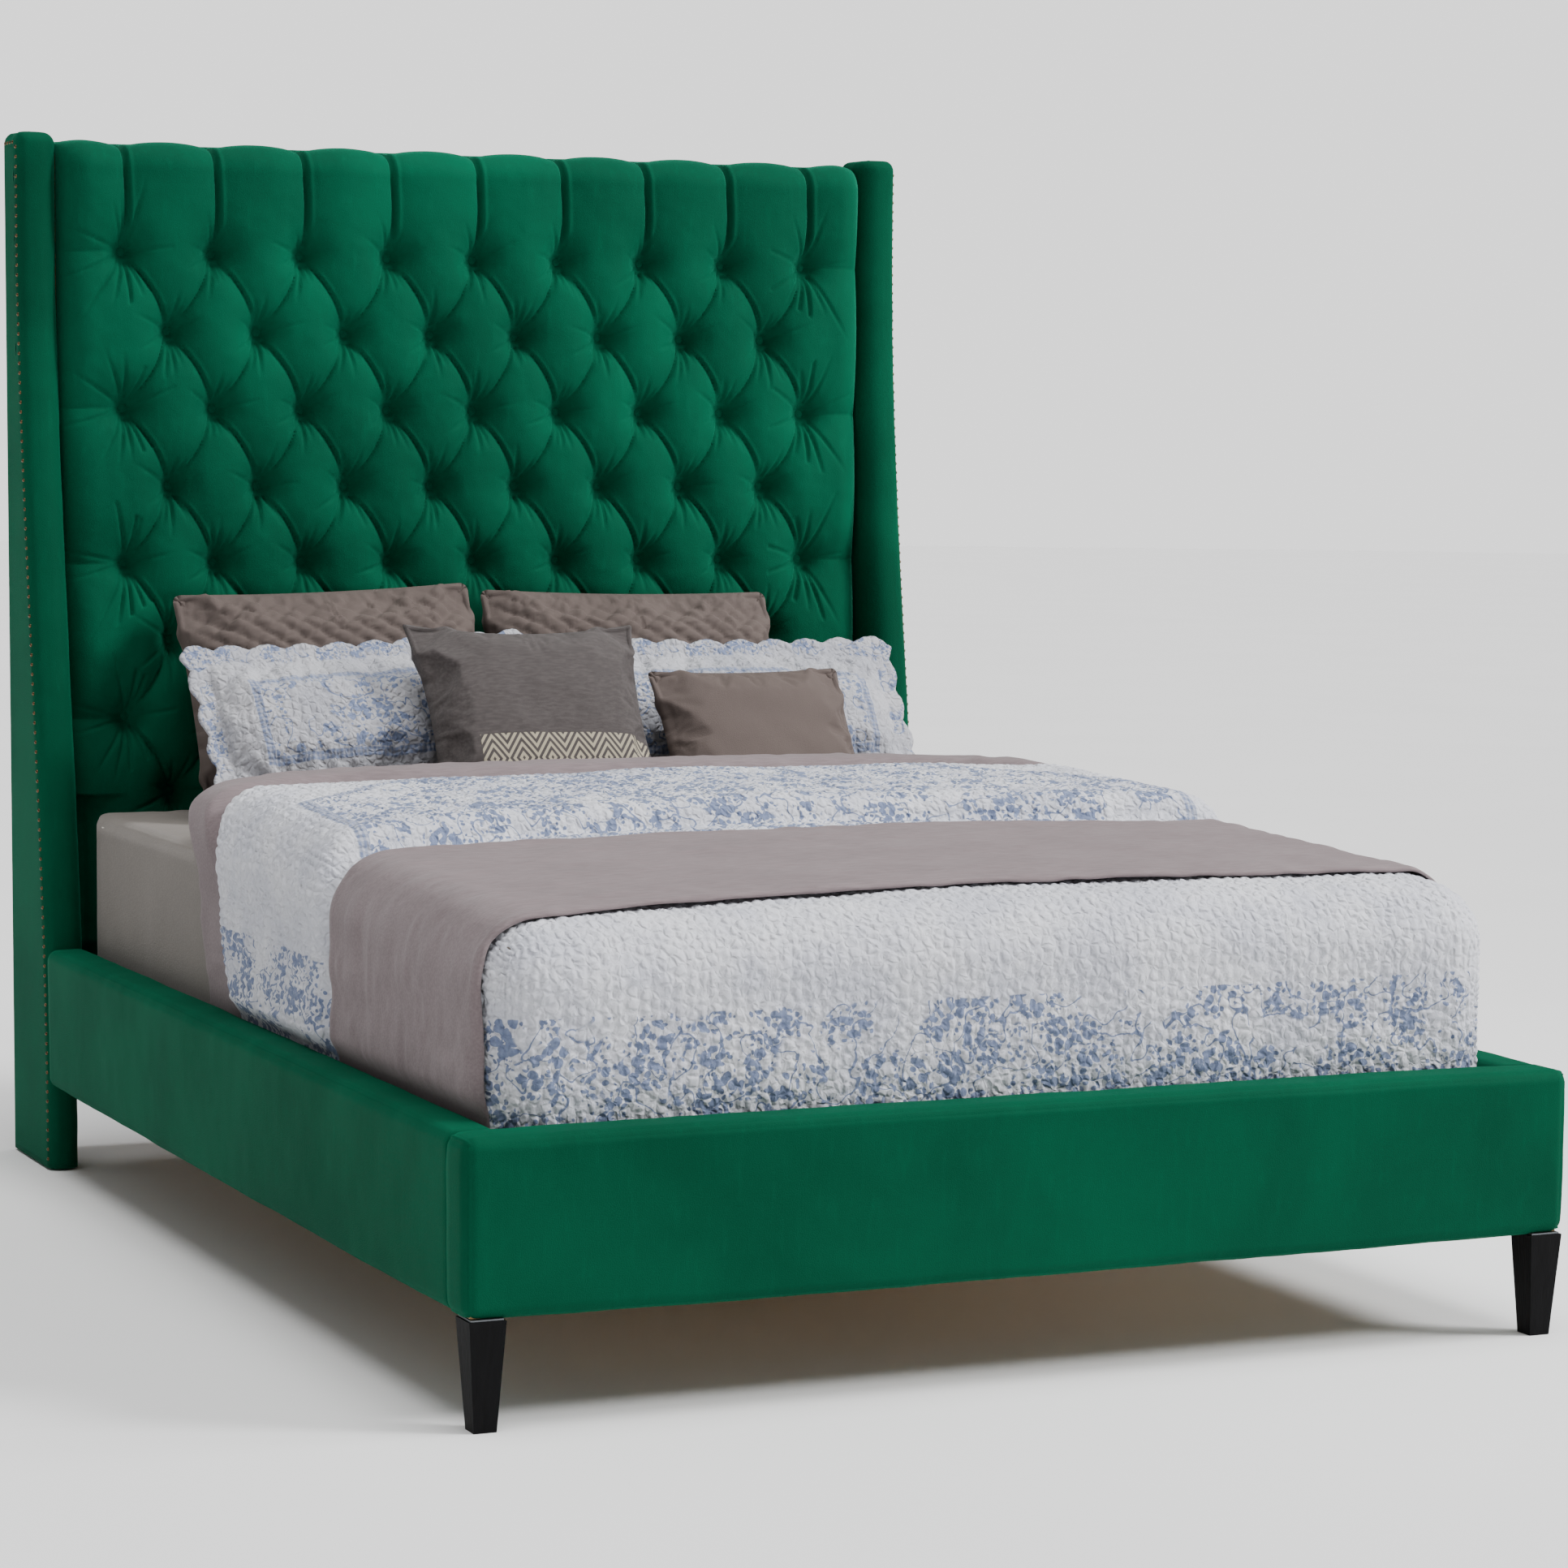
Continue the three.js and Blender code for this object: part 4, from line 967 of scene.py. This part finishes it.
def pillow_mesh(size, flange, pinch, corner):
    """A cushion standing in the XZ plane round the origin: points, quads, and the faces' s, t."""
    width, height, thickness = size
    cols, rows = int(width / PILLOW_STEP) // 2 * 2, int(height / PILLOW_STEP) // 2 * 2
    s, t = np.meshgrid(np.linspace(-1, 1, cols + 1), np.linspace(-1, 1, rows + 1), indexing="xy")
    half_w, half_h = width / 2, height / 2

    def dome(value, half):
        inner = np.minimum(1, np.abs(value) * half / (half - flange))
        return np.sqrt(np.maximum(0, 1 - inner ** 2.6))

    full = dome(s, half_w) * dome(t, half_h)
    x = s * (half_w - pinch * (1 - t ** 2) * np.abs(s))
    z = t * (half_h - pinch * (1 - s ** 2) * np.abs(t))
    over_x = np.maximum(np.abs(x) - half_w + corner, 0)
    over_z = np.maximum(np.abs(z) - half_h + corner, 0)
    shrink = 1 - np.maximum(over_x, over_z) / np.maximum(np.hypot(over_x, over_z), 1e-9)
    x, z = x - np.sign(x) * over_x * shrink, z - np.sign(z) * over_z * shrink
    if flange:
        near_x = smooth(np.abs(s) * half_w, half_w - flange, half_w)
        near_z = smooth(np.abs(t) * half_h, half_h - flange, half_h)
        x -= np.sign(s) * near_x * SCALLOP_DEPTH * (1 - np.abs(np.sin(math.pi * z / SCALLOP_PITCH)))
        z -= np.sign(t) * near_z * SCALLOP_DEPTH * (1 - np.abs(np.sin(math.pi * x / SCALLOP_PITCH)))
    parts = []
    for face in (-1, 1):
        y = face * mix(PILLOW_RIM, PILLOW_FULLNESS * thickness / 2, full)
        edge = (np.abs(s) > 0.9999) | (np.abs(t) > 0.9999)
        y = np.where(edge, 0, y)
        quads = grid_quads(rows + 1, cols + 1)
        parts.append((np.stack([x, y, z, s, t], -1).reshape(-1, 5),
                      quads if face < 0 else quads[:, ::-1]))
    points, quads = merge(parts)
    points, quads = weld(points, quads)
    return points[:, :3], quads, points[:, 3:]


def vertex_normals(points, quads):
    a, b = points[quads[:, 2]] - points[quads[:, 0]], points[quads[:, 3]] - points[quads[:, 1]]
    face = np.cross(a, b)
    total = np.zeros_like(points)
    for corner in range(4):
        np.add.at(total, quads[:, corner], face)
    return total / np.maximum(np.linalg.norm(total, axis=1, keepdims=True), 1e-12)


AIR_PRESSURE = 3.0
CLOTH_GROWTH = 0.05
INFLATE_FRAMES = 16
INFLATE_LIMIT = 0.016


def inflate(points, quads, pinned):
    """Lets slightly oversized cloth fill with air in a short simulation; the seam stays pinned."""
    obj = make_object("inflating", points, quads)
    group = obj.vertex_groups.new(name="seam")
    group.add([int(i) for i in pinned], 1.0, "REPLACE")
    cloth = obj.modifiers.new("cloth", "CLOTH")
    cloth.settings.quality = 4
    cloth.settings.use_pressure = True
    cloth.settings.uniform_pressure_force = AIR_PRESSURE
    cloth.settings.shrink_min = -CLOTH_GROWTH
    cloth.settings.effector_weights.gravity = 0
    cloth.settings.vertex_group_mass = "seam"
    cloth.collision_settings.use_collision = False
    scene = bpy.context.scene
    for number in range(1, INFLATE_FRAMES + 1):
        scene.frame_set(number)
    shaped = obj.evaluated_get(bpy.context.evaluated_depsgraph_get())
    moved = np.empty(len(points) * 3, np.float32)
    shaped.data.vertices.foreach_get("co", moved)
    moved = moved.reshape(-1, 3).astype(float) - points
    bpy.data.objects.remove(obj)
    scene.frame_set(1)
    length = np.linalg.norm(moved, axis=1, keepdims=True)
    return points + moved * np.minimum(1, INFLATE_LIMIT / np.maximum(length, 1e-9))


def lattice_quilting(x, z):
    """Small pinched diamonds, with creases where the stitches pull."""
    across, up = x / 0.047, z / 0.036
    u, v = across + up, across - up
    puffs = np.abs(np.sin(math.pi * u) * np.sin(math.pi * v)) ** 0.45
    return puffs + 0.25 * flat_noise(x, z * 3.0, 0.012, 91)


def build_pillow(name, material, slot, size, lean, roll, pinch, corner, flange=0.0, stitches=None):
    points, quads, st = pillow_mesh(size, flange, pinch, corner)
    border = np.max(np.abs(st), axis=1) > 0.999
    if flange:
        half = np.array(size[:2]) / 2
        border = np.any(np.abs(st) * half > half - flange, axis=1)
    points = inflate(points, quads, np.flatnonzero(border))
    normals = vertex_normals(points, quads)
    x, z = points[:, 0], points[:, 2]
    fullness = 1 - np.max(np.abs(st), axis=1) ** 8
    if stitches == "lattice":
        points = points + normals * (0.0095 * (lattice_quilting(x, z) - 0.6) * fullness)[:, None]
    elif stitches == "wander":
        points = points + normals * (0.0045 * (quilting(x, z) - 0.6) * (0.5 + 0.5 * fullness))[:, None]
    seed = sum(map(ord, name))
    slump = 0.004 * noise(points, 0.12, seed) + 0.0015 * noise(points, 0.04, seed + 1)
    points = points + normals * (slump * fullness)[:, None]
    turn = Matrix.Rotation(math.radians(-lean), 4, "X") @ Matrix.Rotation(math.radians(roll), 4, "Y")
    spun = points @ np.array(turn.to_3x3()).T
    low, high = (np.array(corner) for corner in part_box(name))
    middle = (low + high) / 2 - (spun.min(0) + spun.max(0)) / 2
    middle[2] = low[2] - spun[:, 2].min() - 0.002
    add_piece(f"{name}_cover", points, quads, material, slot, name,
                        place=Matrix.Translation(middle) @ turn)


# ---- printed fabrics and hard finishes ----

RIBBON_X = 0.705
RIBBON = 0.020
RIBBON_TURN_Y = 0.140, -0.110


def quilt_material():
    shader = Shader("quilt_cotton", Roughness=0.9, Sheen_Weight=0.1, Specular_IOR_Level=0.15)
    x, y, z = (shader.axis(letter) for letter in "XYZ")
    width = shader.math("ABSOLUTE", x)
    inset = shader.minus(shader.step(width, 0.42, 0.76, *RIBBON_TURN_Y), y)
    on_top = shader.times(shader.step(y, -0.45, -0.44), shader.step(z, 0.655, 0.660))
    inner = shader.times(shader.step(width, RIBBON_X, RIBBON_X - 0.002),
                        shader.step(inset, 0.0, 0.002))
    outer = shader.times(shader.step(width, RIBBON_X + RIBBON, RIBBON_X + RIBBON - 0.002),
                        shader.step(inset, -RIBBON, 0.002 - RIBBON))
    centre = shader.times(inner, on_top)
    border = shader.times(shader.minus(outer, inner), on_top)
    wave = shader.times(shader.noise(0.05, 1.0), 0.012)
    band = shader.step(shader.plus(z, wave), 0.536, 0.534)
    flowers = sprigs(shader, 0.095, 0.15)
    sides = shader.times(band, flowers)
    base = print_on(shader, cotton(shader, "bfc1cb", "d3d4da"), [
        (centre, flowers), (1.0, sides), (border, gingham(shader, "XY"))])
    return quilted_cotton(shader, base)


def sham_material(name, size):
    """White quilted cotton: sprigs on the flange, a plain band, a ribbon frame, flowers inside."""
    shader = Shader(name, Roughness=0.9, Sheen_Weight=0.1, Specular_IOR_Level=0.15)
    half_w, half_h = size[0] / 2, size[1] / 2
    x, z = (shader.math("ABSOLUTE", shader.axis(letter)) for letter in "XZ")
    inset = shader.math("MINIMUM", shader.minus(half_w, x),
                        shader.minus(half_h, z))
    flowers = sprigs(shader, 0.085, 0.11)
    # The white ground here is the quilt's cotton painted greyer. This is painted shade, which makes the
    # shams darker than the quilt top.
    base = print_on(shader, cotton(shader, "a3a4ac", "b5b5ba"), [
        (shader.step(inset, 0.050, 0.044), sprigs(shader, 0.060, 0.05)),
        (shader.step(inset, 0.114, 0.116), flowers),
        (shader.band(inset, 0.100, 0.114), gingham(shader, "XZ"))])
    return quilted_cotton(shader, base)


def motif_material(name, dark, light):
    """Taupe linen with a pale printed band of plain stepped diamonds low on the front."""
    shader = Shader(name, Roughness=0.9, Sheen_Weight=0.15, Specular_IOR_Level=0.15)
    x, z, y = (shader.axis(letter) for letter in "XZY")
    slubs = shader.noise(0.004, 3.0, stretch=(4, 1, 1))
    base = shader.blend(shader.step(slubs, 0.3, 0.75), colour(dark), colour(light))
    pitch = 0.052
    cell = shader.math("PINGPONG", shader.plus(x, 1.0), pitch / 2)
    level = shader.math("ABSOLUTE", shader.plus(z, 0.100))
    diamond = shader.plus(shader.times(cell, 1.5), level)
    rings = shader.math("PINGPONG", diamond, 0.0085)
    print_mask = shader.times(shader.step(rings, 0.0038, 0.0046),
                             shader.step(level, 0.047, 0.046))
    area = shader.times(shader.step(x, -0.135, -0.134), shader.step(y, 0.0, -0.002))
    base = shader.blend(shader.times(print_mask, area), base, colour("c2b8a0"))
    threads = shader.times(shader.waves("X", 0.0012), shader.waves("Z", 0.0012))
    return shader.finish(base, shader.plus(shader.times(threads, 0.5), slubs), 0.0006)


def timber(name, dark, light, along=(1, 8, 1), **surface):
    shader = Shader(name, **{"Roughness": 0.6, **surface})
    grain = shader.noise(0.012, 4.0, stretch=along, distortion=0.8)
    fine = shader.noise(0.003, 2.0, stretch=along)
    base = shader.blend(shader.step(grain, 0.3, 0.7), colour(dark), colour(light))
    return shader.finish(base, shader.plus(grain, fine), 0.0004)


def plain(name, dark, light, roughness, metallic=0.0):
    """A hard finish with faint mottling and marks."""
    shader = Shader(name, Metallic=metallic)
    spots = shader.noise(0.01, 3.0)
    base = shader.blend(spots, colour(dark), colour(light))
    rough = shader.step(spots, 0.3, 0.7, roughness - 0.07, roughness + 0.07)
    return shader.finish(base, shader.noise(0.002, 2.0), 0.0002, rough)


# ---- CAD nodes that stay ----


def paint_frame():
    pine = timber("pine", "a9824f", "cfa671")
    slats = timber("slat_wood", "b58d57", "d9b785", along=(8, 1, 1))
    plywood = timber("plywood", "a07a4c", "c49b68", along=(8, 1, 1))
    black_wood = timber("black_wood", "020203", "060608", along=(1, 1, 6),
                        Specular_IOR_Level=0.12)
    steel = plain("zinc_steel", "5d6165", "85898d", 0.38, 1.0)
    plastic = plain("black_plastic", "111214", "1d1e20", 0.6)
    finishes = {  # each slot's material, and how far its edges are rounded
        "pine": (pine, 0.002), "slat_wood": (slats, 0.002), "plywood": (plywood, 0.0008),
        "black_wood": (black_wood, 0.0015), "zinc_steel": (steel, 0.0006),
        "black_plastic": (plastic, 0.001)}
    node_slots = {part["node"]: part["material_slot"] for part in frame["record"]["subparts"]}
    for name, obj in frame["nodes"].items():
        slot = node_slots.get(name)
        if slot not in finishes or obj.hide_render:
            continue
        material, rounding = finishes[slot]
        obj.data.materials.clear()
        obj.data.materials.append(material)
        bevel = obj.modifiers.new("soft_edges", "BEVEL")
        bevel.width, bevel.segments = rounding, 2
        bevel.limit_method, bevel.angle_limit = "ANGLE", math.radians(50)


def build_back_cover(material, staple_material):
    low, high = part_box("headboard_back_cover")
    xs, zs = np.linspace(low.x, high.x, 156), np.linspace(low.z, high.z, 164)
    x, z = np.meshgrid(xs, zs, indexing="xy")
    edge = np.minimum(np.minimum(x - low.x, high.x - x), np.minimum(z - low.z, high.z - z))
    pull = np.abs(np.sin(math.pi * (x + z) / 0.06)) * np.exp(-edge / 0.03)
    y = high.y + 0.0004 + 0.0009 * flat_noise(x, z, 0.25, 95) + 0.0008 * pull
    cover = add_piece("back_cloth", np.stack([x, y, z], -1).reshape(-1, 3),
                      grid_quads(*x.shape)[:, ::-1], material, "back_cloth", "headboard_back_cover")
    add_rim(cover, 0.0008)
    inset, pitch, staples = 0.012, 0.055, []
    legs = [(px, pz, False) for pz in (low.z + inset, high.z - inset)
            for px in np.arange(low.x + 0.03, high.x - 0.02, pitch)]
    legs += [(px, pz, True) for px in (low.x + inset, high.x - inset)
             for pz in np.arange(low.z + 0.03, high.z - 0.02, pitch)]
    for px, pz, upright in legs:
        half = Vector((0.0007, 0.0006, 0.005)) if upright else Vector((0.005, 0.0006, 0.0007))
        centre = Vector((px, high.y + 0.0022, pz))
        staples.append(soft_box(centre - half, centre + half, 0.0005, 0.004)[:2])
    add_piece("back_staples", *merge(staples), staple_material, "zinc_steel")


# ---- studio ----

CAMERA_PLACE = (-2.7091, -6.1536, 1.3054)
CAMERA_YAW, CAMERA_PITCH, CAMERA_ROLL = 23.170, 6.687, 0.4097
CAMERA_LENS = 96.16
CAMERA_SHIFT = (0.0760, 0.0846)
STUDIO_GLOW = 0.33
BACKDROP_GLOW = 1.55


def build_camera():
    yaw, pitch, roll = (math.radians(a) for a in (CAMERA_YAW, CAMERA_PITCH, CAMERA_ROLL))
    forward = Vector((math.sin(yaw) * math.cos(pitch), math.cos(yaw) * math.cos(pitch),
                      -math.sin(pitch)))
    right = forward.cross(Vector((0, 0, 1))).normalized()
    up = right.cross(forward)
    right, up = (right * math.cos(roll) + up * math.sin(roll),
                 up * math.cos(roll) - right * math.sin(roll))
    data = bpy.data.cameras.new("camera")
    data.lens, data.sensor_width = CAMERA_LENS, 36
    data.shift_x, data.shift_y = CAMERA_SHIFT
    data.clip_end = 200
    camera = add_object("camera", data)
    axes = Matrix((right, up, -forward)).transposed().to_4x4()
    camera.matrix_world = Matrix.Translation(CAMERA_PLACE) @ axes
    bpy.context.scene.camera = camera


def towards(azimuth, elevation):
    """A direction away from the bed; azimuth 0 is the foot side, 90 the right side."""
    a, e = math.radians(azimuth), math.radians(elevation)
    return Vector((math.sin(a) * math.cos(e), -math.cos(a) * math.cos(e), math.sin(e)))


def far_light(name, azimuth, elevation, strength, width):
    """A soft light too far off to fade across the bed; width is the angle it fills."""
    light = add_object(name, bpy.data.lights.new(name, "SUN"))
    light.data.energy, light.data.angle = strength, math.radians(width)
    light.rotation_euler = towards(azimuth, elevation).to_track_quat("Z", "Y").to_euler()


def area_light(name, azimuth, elevation, distance, size, power):
    """A soft square light aimed at the bed."""
    away = towards(azimuth, elevation)
    data = bpy.data.lights.new(name, "AREA")
    data.shape, data.size, data.energy = "SQUARE", size, power
    light = add_object(name, data)
    light.location = Vector((0, 0, 0.8)) + away * distance
    light.rotation_euler = away.to_track_quat("Z", "Y").to_euler()


def build_studio():
    far_light("key", 60, 36, 2.6, 14)
    far_light("overhead", 10, 84, 2.9, 40)
    area_light("side", 62, 26, 4.2, 1.2, 80)
    world = bpy.data.worlds.new("studio")
    world.use_nodes = True
    tree = world.node_tree
    background = tree.nodes["Background"]
    background.inputs["Color"].default_value = (1, 1, 1, 1)
    seen = tree.nodes.new("ShaderNodeLightPath")
    strength = tree.nodes.new("ShaderNodeMapRange")
    strength.inputs["To Min"].default_value = STUDIO_GLOW
    strength.inputs["To Max"].default_value = BACKDROP_GLOW
    tree.links.new(seen.outputs["Is Camera Ray"], strength.inputs["Value"])
    tree.links.new(strength.outputs["Result"], background.inputs["Strength"])
    bpy.context.scene.world = world
    sides, reach = 64, 40.0
    turn = np.linspace(0, 2 * math.pi, sides, endpoint=False)
    rings = [np.column_stack([r * np.cos(turn), r * np.sin(turn), 0 * turn])
             for r in (0.001, 4.0, reach)]
    floor = make_object("floor", np.concatenate(rings), grid_quads(3, sides, wrap=True))
    shader = Shader("floor", Roughness=0.9, Specular_IOR_Level=0.1)
    base = shader.blend(shader.noise(0.8, 2.0), colour("ececec"), colour("f2f2f2"))
    floor.data.materials.append(shader.finish(base))
    floor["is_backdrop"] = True


# ---- the bed ----

build_camera()
green = velvet("velvet", "002f1f", "005138", "007a58", "28b088", 0.32)
taupe_velvet = velvet("taupe_velvet", "534a47", "665c58", "7c716c", "b0a39e", 0.3)
# The tufted pad and its buttons use a lighter copy of the green velvet. This is painted light: it lifts
# the tufting out of the shade that its own cells cast.
tufted_velvet_painted_lighter = velvet("tufted_velvet_painted_lighter", "003524", "005c41", "008d65", "58e0b6", 0.6)
build_tufted_pad(tufted_velvet_painted_lighter)
build_buttons(tufted_velvet_painted_lighter)
bronze = plain("bronze", "33281c", "806548", 0.28, 1.0)
for side_name, bed_side in (("left", -1), ("right", 1)):
    wing_surface = build_wing(side_name, bed_side, green)
    build_nails(side_name, bed_side, wing_surface, bronze)
build_rails(green)
staple_steel = plain("staple_steel", "6d7175", "95999d", 0.35, 1.0)
build_back_cover(linen("back_cloth", "10261e", "18352a", along=((7, 1, 1), (1, 1, 7))), staple_steel)
ticking = linen("ticking", "dcd9d2", "efece6")
build_mattress(ticking, linen("piping", "c9c5bc", "dedad2"))
build_fitted_sheet(linen("fitted_cotton", "6d6762", "7a746e"))
taupe = linen("taupe_cloth", "6e6264", "84787a")
build_duvet(taupe)
build_quilt(quilt_material())
build_throw(taupe)
for pillow, spec in PILLOWS.items():
    if pillow.startswith("sham"):
        cover, cover_slot = sham_material(f"{pillow}_cotton", spec["size"]), "quilt_cotton"
    elif pillow == "cushion_square":
        cover, cover_slot = motif_material("motif_linen", "4e4847", "5d5655"), "taupe_cloth"
    else:
        cover, cover_slot = taupe_velvet, "taupe_velvet"
    build_pillow(pillow, cover, cover_slot, **spec)
paint_frame()
build_studio()

boxes = {"cad": cad_bounds, "visual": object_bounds()}
{key: [list(corner) for corner in value] for key, value in boxes.items()}
